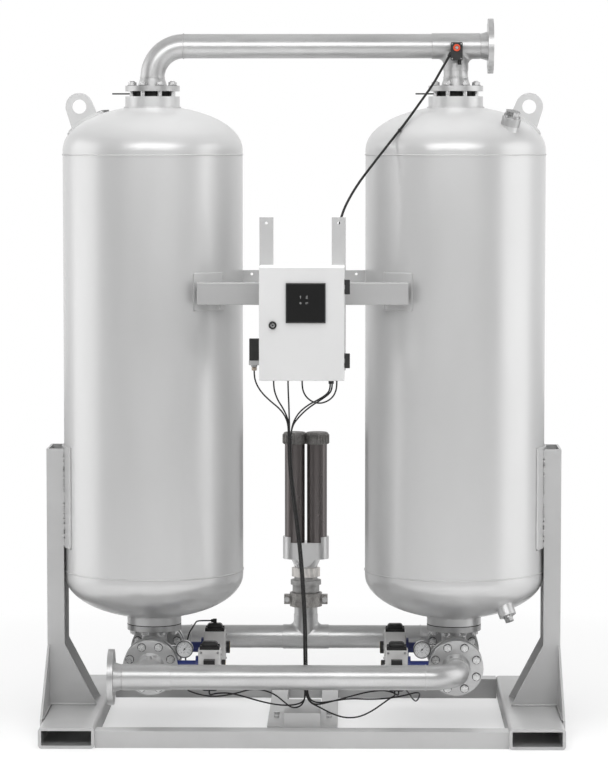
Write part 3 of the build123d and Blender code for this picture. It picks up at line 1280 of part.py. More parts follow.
def cabinet_door():
    """The folded door, with its hinge knuckles at the right and openings for lock and controller."""
    half = CABINET_WIDTH / 2
    sheet = DOOR_SHEET
    body = block(-half, half, DOOR_FRONT, DOOR_BACK, CABINET_BOTTOM, CABINET_TOP)
    front = body.faces().sort_by(Axis.Y)[0]
    body = fillet(front.edges(), DOOR_ROUND)
    low = CABINET_BOTTOM + sheet
    body -= block(-half + sheet, half - sheet, DOOR_FRONT + sheet, DOOR_BACK + 1, low, CABINET_TOP - sheet)
    size = (SCREEN_SIZE / 2) - CONTROLLER_INSET + CONTROLLER_GAP
    body -= slab((SCREEN_X, SCREEN_Z), size, size, DOOR_FRONT - 1, DOOR_FRONT + sheet + 1)
    hole = LOCK_BARREL_RADIUS + LOCK_BARREL_GAP
    body -= rod((LOCK_X, DOOR_FRONT - 1, LOCK_Z), (LOCK_X, DOOR_FRONT + sheet + 1, LOCK_Z), hole)
    pin_y = DOOR_BACK - HINGE_SETBACK
    for middle in (HINGE_LOW, HINGE_HIGH):
        third = HINGE_HEIGHT / 6 - HINGE_SLIT
        arm = HINGE_ARM / 2
        knuckle = rod((HINGE_X, pin_y, middle - third), (HINGE_X, pin_y, middle + third), HINGE_RADIUS)
        knuckle += block(half - sheet, HINGE_X, pin_y - arm, pin_y + arm, middle - third, middle + third)
        bore = HINGE_PIN_RADIUS + RUNNING_GAP
        end = HINGE_HEIGHT
        knuckle -= rod((HINGE_X, pin_y, middle - end), (HINGE_X, pin_y, middle + end), bore)
        body += knuckle
    return body


def door_hinge(middle):
    """The fixed half of a cabinet hinge with its pin."""
    half = CABINET_WIDTH / 2
    pin_y = DOOR_BACK - HINGE_SETBACK
    low = middle - HINGE_HEIGHT / 2
    high = middle + HINGE_HEIGHT / 2
    inner = HINGE_HEIGHT / 6
    leaf_end = BOX_FRONT + HINGE_LEAF_DEPTH
    body = block(half, half + HINGE_LEAF, BOX_FRONT, leaf_end, low, high)
    for z0, z1 in ((low, middle - inner), (middle + inner, high)):
        body += rod((HINGE_X, pin_y, z0), (HINGE_X, pin_y, z1), HINGE_RADIUS)
        arm = block(half, HINGE_X + HINGE_RADIUS, pin_y, BOX_FRONT + HINGE_ROOT_DEPTH, z0, z1)
        body += arm - block(half, HINGE_X - HINGE_ROOT_STEP, pin_y, BOX_FRONT, z0, z1)
    return body + rod((HINGE_X, pin_y, low), (HINGE_X, pin_y, high), HINGE_PIN_RADIUS)


def door_lock():
    """The quarter turn lock: a round head, a barrel and the cam behind the door."""
    barrel_end = BOX_FRONT + BOX_WALL + CAM_GAP
    face = DOOR_FRONT - LOCK_PROUD
    body = rod((LOCK_X, face, LOCK_Z), (LOCK_X, DOOR_FRONT, LOCK_Z), LOCK_RADIUS)
    slot = (LOCK_SLOT_LENGTH / 2, LOCK_SLOT_WIDTH / 2)
    body -= slab((LOCK_X, LOCK_Z), *slot, face - 1, face + LOCK_SLOT_DEPTH)
    body += rod((LOCK_X, DOOR_FRONT, LOCK_Z), (LOCK_X, barrel_end, LOCK_Z), LOCK_BARREL_RADIUS)
    half = CAM_WIDTH / 2
    cam_back = barrel_end + CAM_THICKNESS
    cam_low = LOCK_Z - CAM_LENGTH
    return body + block(LOCK_X - half, LOCK_X + half, barrel_end, cam_back, cam_low, LOCK_Z + half)


def controller():
    """The controller: its screen bezel in front of the door and its body behind."""
    half = SCREEN_SIZE / 2
    centre = (SCREEN_X, SCREEN_Z)
    body = slab(centre, half, half, DOOR_FRONT - SCREEN_PROUD, DOOR_FRONT)
    front = body.faces().sort_by(Axis.Y)[0]
    body = fillet(front.edges(), 2)
    inner = half - CONTROLLER_INSET
    return body + slab(centre, inner, inner, DOOR_FRONT, DOOR_FRONT + CONTROLLER_DEPTH)


def mounting_plate():
    """The plate inside the cabinet with its terminal rail and terminals."""
    half = CABINET_WIDTH / 2 - PLATE_MARGIN
    low = CABINET_BOTTOM + PLATE_MARGIN
    top = CABINET_TOP - PLATE_MARGIN
    wall = CABINET_BACK - BOX_WALL
    back = wall - PLATE_STANDOFF
    front = back - PLATE_THICKNESS
    body = block(-half, half, front, back, low, top)
    for x in (-1, 1):
        for z in (low + PLATE_MARGIN, top - PLATE_MARGIN):
            at = x * (half - PLATE_MARGIN)
            body += rod((at, back, z), (at, wall, z), PLATE_POST_RADIUS)
    rail_z = (low + top) / 2
    body += block(-half + 10, half - 10, front - RAIL_BAR_DEPTH, front, rail_z - RAIL_BAR_WIDTH / 2, rail_z)
    depth = RAIL_BAR_DEPTH + TERMINAL_DEPTH
    wide = TERMINAL_HEIGHT / 2
    return body + block(-half + 30, half - 60, front - depth, front - 2, rail_z - wide, rail_z + wide)


def gland(x, radius, length):
    """A cable gland under the cabinet, with its nut inside."""
    low = CABINET_BOTTOM
    inside = low + BOX_WALL
    body = rod((x, GLAND_Y, low - length), (x, GLAND_Y, low), radius)
    body += rod((x, GLAND_Y, low), (x, GLAND_Y, inside + GLAND_NUT), GLAND_STEM_RADIUS)
    return body + hex_bar((x, GLAND_Y, inside), (x, GLAND_Y, inside + GLAND_NUT), 2 * radius)


def back_gland():
    """The gland of the sensor cable in the cabinet's back wall."""
    back = CABINET_BACK
    inside = back - BOX_WALL
    x = BACK_GLAND_X
    z = BACK_GLAND_Z
    body = rod((x, back + BACK_GLAND_LENGTH, z), (x, back, z), WIDE_GLAND_RADIUS)
    body += rod((x, back, z), (x, inside - GLAND_NUT, z), GLAND_STEM_RADIUS)
    return body + rod((x, inside, z), (x, inside - GLAND_NUT, z), WIDE_GLAND_RADIUS - 1)


def cable_glands():
    """All glands of the cabinet."""
    glands = [gland(x, GLAND_RADIUS, GLAND_LENGTH) for x in LEAD_GLAND_X]
    return glands + [gland(WIDE_GLAND_X, WIDE_GLAND_RADIUS, WIDE_GLAND_LENGTH), back_gland()]


def side_connector():
    """The plug box on the cabinet's left side with its lower gland."""
    side = -CABINET_WIDTH / 2
    half = PLUG_BOX_DEPTH / 2
    top = PLUG_BOX_LOW + PLUG_BOX_HEIGHT
    body = block(PLUG_BOX_X, side, GLAND_Y - half, GLAND_Y + half, PLUG_BOX_LOW, top)
    inset = PLUG_FOOT_INSET
    foot_low = PLUG_BOX_LOW - PLUG_FOOT_HEIGHT
    foot_half = half - inset
    foot = block(PLUG_BOX_X + inset, side, GLAND_Y - foot_half, GLAND_Y + foot_half, foot_low, PLUG_BOX_LOW)
    end = (PLUG_GLAND_X, GLAND_Y, foot_low - PLUG_GLAND_LENGTH)
    return body + foot + rod((PLUG_GLAND_X, GLAND_Y, foot_low), end, PLUG_GLAND_RADIUS)


def dew_point_sensor():
    """The sensor housing in front of the outlet tee, with its dial, stub and cable exit."""
    back = -PIPE_RADIUS - SENSOR_STANDOFF
    front = back - SENSOR_DEPTH
    half = SENSOR_WIDTH / 2
    top = SENSOR_LOW + SENSOR_HEIGHT
    body = block(SENSOR_X - half, SENSOR_X + half, front, back, SENSOR_LOW, top)
    body = fillet(body.edges().filter_by(Axis.Y), SENSOR_ROUND)
    dial_z = top - SENSOR_DIAL_DROP
    body += rod((SENSOR_X, front, dial_z), (SENSOR_X, front - SENSOR_DIAL_DEPTH, dial_z), SENSOR_DIAL_RADIUS)
    middle = (front + back) / 2
    stub_end = SENSOR_LOW - SENSOR_STUB_LENGTH
    cable_start = Vector(*SENSOR_CABLE_ROUTE[0])
    inward = (cable_start - Vector(*SENSOR_CABLE_ROUTE[1])).normalized()
    body += rod((SENSOR_STUB_X, middle, SENSOR_LOW), (SENSOR_STUB_X, middle, stub_end), SENSOR_STUB_RADIUS)
    return body + rod(cable_start + inward * SENSOR_EXIT_LENGTH, cable_start, SENSOR_EXIT_RADIUS)


# The middle of the bundle on its way down from the cabinet, past the inlet pipe
BUNDLE_ROUTE = [
    (-43, -448, 1136),
    (-45, -447, 1064),
    (-42, -444, 990),
    (-34, -439, 915),
    (-25, -433, 840),
    (-15, -426, 765),
    (-7, -420, 690),
    (-1, -413, 615),
    (4, -405, 540),
    (8, -398, 465),
    (10.5, -392, 390),
    (11, -386, 315),
    (12, -383, 250),
    (13.5, -381, 205),
    (14, -378, 170),
]

# What each lead does before and after the bundle, with its place in the bundle in degrees
LEAD_LEFT_REAR = (
    180,
    [
        (PLUG_GLAND_X, GLAND_Y, 1337),
        (PLUG_GLAND_X, GLAND_Y, 1318),
        (-164, -451, 1292),
        (-146, -452, 1261),
        (-115, -453, 1230),
        (-80, -453, 1202),
        (-58, -452, 1172),
    ],
    [
        (7, -379, 138),
        (-13, -380, 117),
        (-41, -379, 116),
        (-66, -378, 137),
        (-108, -377, 171),
        (-176, -376, 186),
        (-240, -374, 166),
        (-310, -370, 153),
        (-365, -352, 156),
        (-402, -310, 160),
        (-420, -250, 156),
        (-426, -180, 160),
        (-432, -112, 182),
        (-438, -45, 225),
        (-438, 18, 276),
        (-432, 70, 314),
        (-416, 112, 336),
        (-409, 156, 344),
        (-405, 199, 343),
        (-381, 219.5, 341),
        (-354, 220, 341),
    ],
)
LEAD_LEFT_FRONT = (
    108,
    [
        (-101, -450, 1300),
        (-101, -450, 1285),
        (-98, -449, 1262),
        (-87, -448, 1232),
        (-70, -447, 1206),
        (-54, -445, 1174),
    ],
    [
        (6, -364, 138),
        (-20, -358, 123),
        (-72, -358, 120),
        (-136, -360, 131),
        (-200, -362, 150),
        (-258, -358, 165),
        (-306, -340, 162),
        (-334, -314, 150),
        (-340, -288, 151),
        (-340, -269, 170),
        (-340, -269, 196),
    ],
)
LEAD_RIGHT_SWITCH = (
    252,
    [(-50, -450, 1300), (-50, -450, 1285), (-49, -452, 1256), (-47, -455, 1216), (-46, -456, 1176)],
    [
        (24, -394, 139),
        (62, -402, 122),
        (104, -406, 100),
        (152, -406, 84),
        (204, -402, 86),
        (252, -394, 108),
        (290, -374, 132),
        (318, -340, 146),
        (331, -314, 148),
        (333, -288, 151),
        (333, -269, 170),
        (333, -269, 196),
    ],
)
LEAD_RIGHT_FRONT = (
    324,
    [
        (99.5, -452, 1290),
        (99.5, -452, 1273),
        (90, -454, 1255),
        (62, -456, 1236),
        (20, -458, 1215),
        (-16, -457, 1184),
    ],
    [
        (25, -385, 140),
        (50, -389, 127),
        (104, -387, 140),
        (172, -382, 158),
        (232, -376, 173),
        (288, -362, 178),
        (326, -340, 166),
        (343, -314, 150),
        (347, -288, 151),
        (347, -269, 170),
        (347, -269, 196),
    ],
)
LEAD_RIGHT_REAR = (
    36,
    [
        (106.5, -448, 1290),
        (106.5, -448, 1273),
        (97, -446, 1254),
        (68, -443, 1233),
        (28, -441, 1208),
        (-8, -441, 1176),
    ],
    [
        (28, -368, 141),
        (58, -364, 130),
        (110, -362, 138),
        (172, -362, 147),
        (236, -362, 144),
        (300, -360, 146),
        (358, -350, 154),
        (402, -316, 160),
        (424, -262, 152),
        (424, -196, 126),
        (418, -128, 100),
        (412, -58, 84),
        (404, 14, 80),
        (394, 86, 84),
        (380, 152, 92),
        (366, 212, 97),
        (352, 252, 94),
        (343, 276, 118),
        (340, 269, 158),
        (340, 269, 196),
    ],
)
LOOP_ROUTE = [
    (0, -450, 1300),
    (0, -450, 1284),
    (4, -456, 1262),
    (16, -464, 1242),
    (38, -467, 1226),
    (64, -467, 1221),
    (90, -467, 1229),
    (110, -463, 1245),
    (120, -456, 1265),
    (123, -450, 1284),
    (123, -450, 1300),
]
# The sensor cable: down over the tower's head, with heights from the head's rim, then to the cabinet
SENSOR_CABLE_TOP = [
    (528, -78, 338),
    (502, -88, 294),
    (468, -114, 234),
    (424, -152, 174),
    (372, -204, 102),
    (322, -244, 40),
]
SENSOR_CABLE_FALL = [
    (262, -268, 2080),
    (188, -300, 1984),
    (137, -322, 1888),
    (126, -318, 1800),
    (128, -302, 1716),
    (124, -288, 1640),
    (116, -274, 1566),
    (90, -254, 1492),
    (76, -249, 1433),
    (BACK_GLAND_X, CABINET_BACK + BACK_GLAND_LENGTH + 44, BACK_GLAND_Z),
    (BACK_GLAND_X, CABINET_BACK + BACK_GLAND_LENGTH, BACK_GLAND_Z),
]
SENSOR_CABLE_ROUTE = [(x, y, HEAD_HIGH + z) for x, y, z in SENSOR_CABLE_TOP] + SENSOR_CABLE_FALL


def turn_radii(points):
    """The largest arcs that a cord's runs leave room for."""
    radii = []
    for a, b, c in zip(points, points[1:], points[2:]):
        turn = math.radians((b - a).get_angle(c - b))
        radii.append(0.45 * min((b - a).length, (c - b).length) / math.tan(turn / 2))
    return radii


def cord(name, route, diameter):
    """A flexible lead: runs joined by arcs."""
    points = [Vector(*p) for p in route]
    radii = turn_radii(points)
    section = Plane(origin=points[0], z_dir=points[1] - points[0]) * Circle(diameter / 2)
    path = FilletPolyline(*points, radius=radii)
    body = sweep(section, path=path)
    length = sum(edge.length for edge in path.edges())
    error = body.volume / (math.pi * diameter**2 / 4 * length) - 1
    print(f"{name}: length {length:.0f}, tightest arc {min(radii):.0f}, volume error {error:.4f}")
    return body


def lead_route(lead):
    """A lead's whole route: from its gland, down the bundle in its own place, to its valve."""
    place, head, tail = lead
    dx = BUNDLE_RADIUS * math.cos(math.radians(place))
    dy = BUNDLE_RADIUS * math.sin(math.radians(place))
    return head + [(x + dx, y + dy, z) for x, y, z in BUNDLE_ROUTE] + tail


def cable_tie(centre, direction, hold):
    """A flat strap closed round a bundle or a cable."""
    way = Vector(*direction).normalized() * (TIE_WIDTH / 2)
    middle = Vector(*centre)
    inner = hold + TIE_GAP
    outer = inner + TIE_THICKNESS
    return rod(middle - way, middle + way, outer) - rod(middle - way * 2, middle + way * 2, inner)


def cable_ties():
    """Straps round the bundle and the sensor cable."""
    hold = BUNDLE_RADIUS + LEAD_DIAMETER / 2
    ties = []
    for index in (0, 5, 12):
        a = Vector(*BUNDLE_ROUTE[index])
        b = Vector(*BUNDLE_ROUTE[index + 1])
        ties.append(cable_tie((a + b) * 0.5, b - a, hold))
    a = Vector(*SENSOR_CABLE_ROUTE[4])
    b = Vector(*SENSOR_CABLE_ROUTE[5])
    ties.append(cable_tie((a + b) * 0.5, b - a, SENSOR_CABLE_DIAMETER / 2))
    return ties


def group(solids):
    """Several separate solids in one node."""
    return Compound(children=list(solids))


SIDES = {"left": -1, "right": 1}
WAYS = {"front": -1, "rear": 1}
PLACES = [(side, way) for side in SIDES.values() for way in WAYS.values()]

right_tower = tower()
right_seat = crossbeam_seat()
right_screens = screens()
nodes = {
    "side_tube_left": mirrored(side_tube()),
    "side_tube_right": side_tube(),
    "front_beam": skid_beam(FRONT_BEAM_Y, FRONT_BEAM_HEIGHT),
    "rear_beam": skid_beam(REAR_BEAM_Y, TUBE_HEIGHT),
    "centre_rails": group([centre_rail(-RAIL_OFFSET), centre_rail(RAIL_OFFSET)]),
    "centre_bridge": centre_bridge(),
    "support_post_left": mirrored(support_post()),
    "support_post_right": support_post(),
    "vessel_left": turned(right_tower) + mirrored(right_seat),
    "vessel_right": right_tower + right_seat,
    "desiccant_beds": group([mirrored(desiccant_bed()), desiccant_bed()]),
    "bed_screens": group([turned(screen) for screen in right_screens] + right_screens),
    "vessel_plugs": group(vessel_plugs()),
    "check_valve_bodies": group([check_valve(-TOWER_X), check_valve(TOWER_X)]),
    "check_flap_left": check_flap(-TOWER_X),
    "check_flap_right": check_flap(TOWER_X),
    "outlet_manifold": outlet_manifold(),
    "lower_tees": group([mirrored(lower_tee()), lower_tee()]),
    "flange_gaskets": group([flange_gasket(-TOWER_X), flange_gasket(TOWER_X)]),
    "inlet_manifold": inlet_manifold(),
    "exhaust_manifold": exhaust_manifold(),
    "upper_bolts": group(upper_bolts()),
    "lower_bolts": group(lower_bolts() + bridge_bolts() + coupling_bolts()),
    "valve_bodies": group([valve_body(*place) for place in PLACES]),
    "actuator_bodies": group([actuator_body(*place) for place in PLACES]),
    "actuator_caps": group([actuator_cap(*place, up) for place in PLACES for up in (-1, 1)]),
    "pilot_valves": group([pilot_valve(*place) for place in PLACES] + [top_plug()]),
    "gauge_cases": group([gauge_case(side) for side in SIDES.values()]),
    "gauge_needle_left": gauge_needle(SIDES["left"]),
    "gauge_needle_right": gauge_needle(SIDES["right"]),
    "gauge_lenses": group([gauge_lens(side) for side in SIDES.values()]),
    "coupling_halves": group([coupling_half(way) for way in WAYS.values()]),
    "silencer_nipple": silencer_nipple(),
    "silencer_base": silencer_base(),
    "silencer_tubes": group([silencer_tube(-SILENCER_OFFSET), silencer_tube(SILENCER_OFFSET)]),
    "silencer_cap": silencer_cap(),
    "crossbeam": crossbeam(),
    "tie_plate": tie_plate(),
    "cabinet_arms": group([cabinet_arm(side) for side in SIDES.values()]),
    "cabinet_box": cabinet_box(),
    "cabinet_door": cabinet_door(),
    "door_hinges": group([door_hinge(HINGE_LOW), door_hinge(HINGE_HIGH)]),
    "door_lock": door_lock(),
    "controller": controller(),
    "mounting_plate": mounting_plate(),
    "cable_glands": group(cable_glands()),
    "side_connector": side_connector(),
    "dew_point_sensor": dew_point_sensor(),
    "cable_ties": group(cable_ties()),
}
for side_name, side_sign in SIDES.items():
    for way_name, way_sign in WAYS.items():
        nodes[f"valve_disc_{way_name}_{side_name}"] = valve_disc(side_sign, way_sign)

LEADS = {
    "lead_left_rear": lead_route(LEAD_LEFT_REAR),
    "lead_left_front": lead_route(LEAD_LEFT_FRONT),
    "lead_right_switch": lead_route(LEAD_RIGHT_SWITCH),
    "lead_right_front": lead_route(LEAD_RIGHT_FRONT),
    "lead_right_rear": lead_route(LEAD_RIGHT_REAR),
    "lead_loop": LOOP_ROUTE,
}
for lead_name, route in LEADS.items():
    nodes[lead_name] = cord(lead_name, route, LEAD_DIAMETER)
nodes["sensor_cable"] = cord("sensor_cable", SENSOR_CABLE_ROUTE, SENSOR_CABLE_DIAMETER)

os.makedirs("parts", exist_ok=True)
for node_name, shape in nodes.items():
    export_step(shape, f"parts/{node_name}.step")
print(f"{len(nodes)} nodes written")
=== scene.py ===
import json
import math

import bpy
from mathutils import Matrix, Vector


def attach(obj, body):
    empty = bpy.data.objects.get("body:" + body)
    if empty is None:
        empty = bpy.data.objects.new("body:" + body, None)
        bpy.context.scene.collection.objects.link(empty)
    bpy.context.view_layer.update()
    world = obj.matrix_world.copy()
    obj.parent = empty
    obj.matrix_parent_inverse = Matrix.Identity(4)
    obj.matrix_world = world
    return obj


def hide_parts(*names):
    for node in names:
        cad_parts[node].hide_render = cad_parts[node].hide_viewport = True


# A twin tower desiccant air dryer on its skid: metres, +Z up, front at -Y.

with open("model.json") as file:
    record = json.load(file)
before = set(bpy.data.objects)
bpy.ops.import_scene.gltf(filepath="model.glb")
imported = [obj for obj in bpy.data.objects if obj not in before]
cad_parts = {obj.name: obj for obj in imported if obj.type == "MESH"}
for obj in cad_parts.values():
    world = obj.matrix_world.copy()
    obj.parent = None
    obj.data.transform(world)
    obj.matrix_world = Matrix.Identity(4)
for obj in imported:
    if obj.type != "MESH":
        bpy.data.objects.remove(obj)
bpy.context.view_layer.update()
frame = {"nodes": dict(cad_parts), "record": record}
NODES = frame["nodes"]

TOWER_X = 0.555
SHELL_RADIUS = 0.330
RIM_LOW = 0.550
RIM_HIGH = 2.116
HEAD_RISE = 0.160
PIPE_Z = 0.241
OUTLET_Z = 2.4933
INLET_Y = -0.470
EXHAUST_Y = 0.480
PIPE_RADIUS = 0.04445
ELBOW_RADIUS = 0.1143
SIDES = (-1, 1)
SIDE_WORDS = ((-1, "left"), (1, "right"))
X_WAY = (1, 0, 0)
Z_WAY = (0, 0, 1)
FRONT_WAY = (0, -1, 0)


# Camera

CAMERA_LENS = 153.1
CAMERA_SENSOR = 36.0
CAMERA_REACH = 60.0
CAMERA_PLACE = (0.18, -12.0, 2.182)
CAMERA_TILT = math.radians(85.58)
CAMERA_TURN = math.radians(0.86)

camera_data = bpy.data.cameras.new("camera")
camera_data.lens = CAMERA_LENS
camera_data.sensor_width = CAMERA_SENSOR
camera_data.clip_end = CAMERA_REACH
camera = bpy.data.objects.new("camera", camera_data)
camera.location = CAMERA_PLACE
camera.rotation_euler = (CAMERA_TILT, 0.0, CAMERA_TURN)
bpy.context.scene.collection.objects.link(camera)
bpy.context.scene.camera = camera
bpy.context.scene.view_settings.view_transform = "Standard"


# Finishes


class Finish:
    """A node material with colour, roughness and relief from noise in the object's space."""

    def __init__(self, name, metallic=0.0, coat=0.0, coat_roughness=0.1, specular=0.5):
        self.material = bpy.data.materials.new(name)
        self.material.use_nodes = True
        self.tree = self.material.node_tree
        self.shader = self.tree.nodes["Principled BSDF"]
        self.shader.inputs["Metallic"].default_value = metallic
        self.shader.inputs["Coat Weight"].default_value = coat
        self.shader.inputs["Coat Roughness"].default_value = coat_roughness
        self.shader.inputs["Specular IOR Level"].default_value = specular
        self.place = self.tree.nodes.new("ShaderNodeTexCoord").outputs["Object"]
        self.relief = None

    def join(self, source, target):
        self.tree.links.new(source, target)

    def noise(self, scale, detail=3.0, stretch=(1, 1, 1), distortion=0.0):
        """A noise value, with its grain stretched along an axis where its factor is under 1."""
        mapping = self.tree.nodes.new("ShaderNodeMapping")
        mapping.inputs["Scale"].default_value = stretch
        self.join(self.place, mapping.inputs["Vector"])
        texture = self.tree.nodes.new("ShaderNodeTexNoise")
        texture.inputs["Scale"].default_value = scale
        texture.inputs["Detail"].default_value = detail
        texture.inputs["Distortion"].default_value = distortion
        self.join(mapping.outputs["Vector"], texture.inputs["Vector"])
        return texture.outputs["Fac"]

    def cells(self, scale, stretch=(1, 1, 1)):
        """A cell pattern: 0 in a cell's middle, larger towards its border."""
        mapping = self.tree.nodes.new("ShaderNodeMapping")
        mapping.inputs["Scale"].default_value = stretch
        self.join(self.place, mapping.inputs["Vector"])
        texture = self.tree.nodes.new("ShaderNodeTexVoronoi")
        texture.inputs["Scale"].default_value = scale
        self.join(mapping.outputs["Vector"], texture.inputs["Vector"])
        return texture.outputs["Distance"]

    def span(self, value, low, high, start=0.3, end=0.7):
        """The value's middle part stretched to run from low to high."""
        node = self.tree.nodes.new("ShaderNodeMapRange")
        node.inputs["From Min"].default_value = start
        node.inputs["From Max"].default_value = end
        node.inputs["To Min"].default_value = low
        node.inputs["To Max"].default_value = high
        self.join(value, node.inputs["Value"])
        return node.outputs["Result"]

    def tint(self, value, dark, light, start=0.3, end=0.7):
        """A colour between dark and light."""
        ramp = self.tree.nodes.new("ShaderNodeValToRGB")
        ramp.color_ramp.elements[0].position = start
        ramp.color_ramp.elements[0].color = (*dark, 1.0)
        ramp.color_ramp.elements[1].position = end
        ramp.color_ramp.elements[1].color = (*light, 1.0)
        self.join(value, ramp.inputs["Fac"])
        return ramp.outputs["Color"]

    def multiply(self, colour, other, amount):
        mix = self.tree.nodes.new("ShaderNodeMix")
        mix.data_type = "RGBA"
        mix.blend_type = "MULTIPLY"
        mix.inputs["Factor"].default_value = amount
        self.join(colour, mix.inputs["A"])
        self.join(other, mix.inputs["B"])
        return mix.outputs["Result"]

    def colour(self, source):
        self.join(source, self.shader.inputs["Base Color"])

    def roughness(self, source):
        self.join(source, self.shader.inputs["Roughness"])

    def bump(self, value, strength, distance):
        """Adds a layer of relief over the layers already there."""
        node = self.tree.nodes.new("ShaderNodeBump")
        node.inputs["Strength"].default_value = strength
        node.inputs["Distance"].default_value = distance
        self.join(value, node.inputs["Height"])
        if self.relief is not None:
            self.join(self.relief, node.inputs["Normal"])
        self.relief = node.outputs["Normal"]
        self.join(self.relief, self.shader.inputs["Normal"])


def grey(level, warm=0.0):
    """A near neutral colour, a little warm or cool."""
    return (level * (1 + warm), level, level * (1 - warm))


def silver_paint(name, level, stretch, roughness, metallic, mottle):
    """Aluminium paint: an even satin coat with faint clouds, streaks and orange peel."""
    f = Finish(name, metallic=metallic, coat=0.35, coat_roughness=0.18)
    dark = grey(level * (1 - mottle))
    light = grey(level * (1 + mottle))
    clouds = f.tint(f.noise(2.2, 5.0, stretch), dark, light)
    streaks = f.tint(f.noise(9.0, 3.0, stretch), grey(1 - mottle), grey(1.0))
    f.colour(f.multiply(clouds, streaks, 0.6))
    f.roughness(f.span(f.noise(6.0, 2.0, stretch), roughness * 0.9, roughness * 1.12))
    f.bump(f.noise(5.0, 2.0, stretch), 0.09, 0.003)
    f.bump(f.noise(420.0, 2.0), 0.05, 0.0006)
    return f.material


def pipe_paint(name, level, roughness, mottle, stretch):
    """Silver paint over a cast or drawn pipe: soft clouds, dull rubs and a fine grain."""
    f = Finish(name, metallic=0.78, coat=0.15, coat_roughness=0.3)
    dark = grey(level * (1 - mottle))
    light = grey(level * (1 + mottle))
    clouds = f.tint(f.noise(6.0, 4.0, stretch), dark, light)
    rubs = f.tint(f.noise(30.0, 4.0, stretch), grey(1 - mottle), grey(1.0), 0.3, 0.7)
    specks = f.tint(f.noise(300.0, 3.0), grey(0.86), grey(1.0), 0.3, 0.55)
    f.colour(f.multiply(f.multiply(clouds, rubs, 0.7), specks, 0.5))
    f.roughness(f.span(f.noise(14.0, 3.0, stretch), roughness * 0.9, roughness * 1.15))
    f.bump(f.noise(45.0, 2.0, stretch), 0.04, 0.0006)
    f.bump(f.noise(520.0, 3.0), 0.12, 0.0005)
    return f.material


def casting(name, level, warm, roughness, metallic, pit):
    """A sand cast surface: coarse grain and dull patches."""
    f = Finish(name, metallic=metallic)
    dark = grey(level * 0.72, warm)
    light = grey(level * 1.15, warm)
    patches = f.tint(f.noise(28.0, 8.0), dark, light, 0.32, 0.66)
    dirt = f.tint(f.noise(110.0, 6.0, distortion=0.8), grey(0.55, warm), grey(1.0), 0.38, 0.55)
    f.colour(f.multiply(patches, dirt, 0.6))
    f.roughness(f.span(f.noise(60.0, 5.0), roughness * 0.8, min(1.0, roughness * 1.3)))
    f.bump(f.noise(150.0, 6.0), 0.35, pit)
    f.bump(f.noise(700.0, 3.0), 0.25, pit * 0.4)
    return f.material


def taped_iron():
    """Galvanised fitting, with a paler zinc coat and tape ends on its upper hexagon."""
    f = Finish("taped_iron", metallic=0.4)
    split = f.tree.nodes.new("ShaderNodeSeparateXYZ")
    f.join(f.place, split.inputs["Vector"])
    iron = f.tint(f.noise(40.0, 6.0), grey(0.3, 0.01), grey(0.46, 0.01), 0.32, 0.66)
    zinc = f.tint(f.noise(60.0, 5.0, (1, 1, 0.3)), grey(0.5, 0.03), grey(0.78, 0.04), 0.35, 0.6)
    mix = f.tree.nodes.new("ShaderNodeMix")
    mix.data_type = "RGBA"
    f.join(f.span(split.outputs["Z"], 0.0, 1.0, 0.472, 0.478), mix.inputs["Factor"])
    f.join(iron, mix.inputs["A"])
    f.join(zinc, mix.inputs["B"])
    f.colour(mix.outputs["Result"])
    f.roughness(f.span(f.noise(70.0, 4.0), 0.36, 0.6))
    f.bump(f.noise(160.0, 5.0), 0.3, 0.0012)
    return f.material


def plated_steel(name, level, warm, roughness):
    """Zinc plated or turned steel: fine spangle and drag marks."""
    f = Finish(name, metallic=0.95)
    spangle = f.tint(f.cells(170.0), grey(level * 1.08, warm), grey(level * 0.86, warm), 0.1, 0.8)
    drag = f.tint(f.noise(80.0, 6.0, (1, 1, 0.12)), grey(0.8), grey(1.0), 0.3, 0.7)
    f.colour(f.multiply(spangle, drag, 0.7))
    f.roughness(f.span(f.noise(120.0, 4.0), roughness * 0.7, roughness * 1.5))
    f.bump(f.noise(340.0, 4.0, (1, 1, 0.15)), 0.12, 0.0005)
    return f.material


def powder_coat(name, dark, light, roughness, peel):
    """A baked coat with a fine even texture."""
    f = Finish(name, coat=0.12, coat_roughness=0.3)
    f.colour(f.tint(f.noise(3.5, 6.0), dark, light))
    f.roughness(f.span(f.noise(30.0, 5.0), roughness * 0.88, roughness * 1.15))
    f.bump(f.noise(620.0, 3.0), 0.22, peel)
    f.bump(f.cells(260.0), 0.06, peel)
    return f.material


def moulding(name, dark, light, roughness, grain, coat=0.0):
    """A moulded plastic or rubber skin with a spark eroded grain."""
    f = Finish(name, coat=coat, coat_roughness=0.12)
    f.colour(f.tint(f.noise(16.0, 6.0), dark, light))
    f.roughness(f.span(f.noise(50.0, 5.0), roughness * 0.82, min(1.0, roughness * 1.25)))
    f.bump(f.noise(900.0, 2.0), 0.25, grain)
    return f.material


def dark_tube():
    """Brown black anodised tube, drawn lengthwise, with handling marks."""
    f = Finish("dark_tube", metallic=0.7, coat=0.5, coat_roughness=0.16)
    drawn = f.tint(f.noise(70.0, 2.0, (1, 1, 0.015)), (0.138, 0.122, 0.12), (0.152, 0.135, 0.132))
    marks = f.tint(f.noise(9.0, 5.0, (1, 1, 0.3)), grey(0.9), grey(1.0), 0.3, 0.7)
    f.colour(f.multiply(drawn, marks, 0.6))
    f.roughness(f.span(f.noise(30.0, 3.0, (1, 1, 0.1)), 0.27, 0.31))
    f.bump(f.noise(240.0, 2.0, (1, 1, 0.01)), 0.03, 0.0002)
    return f.material


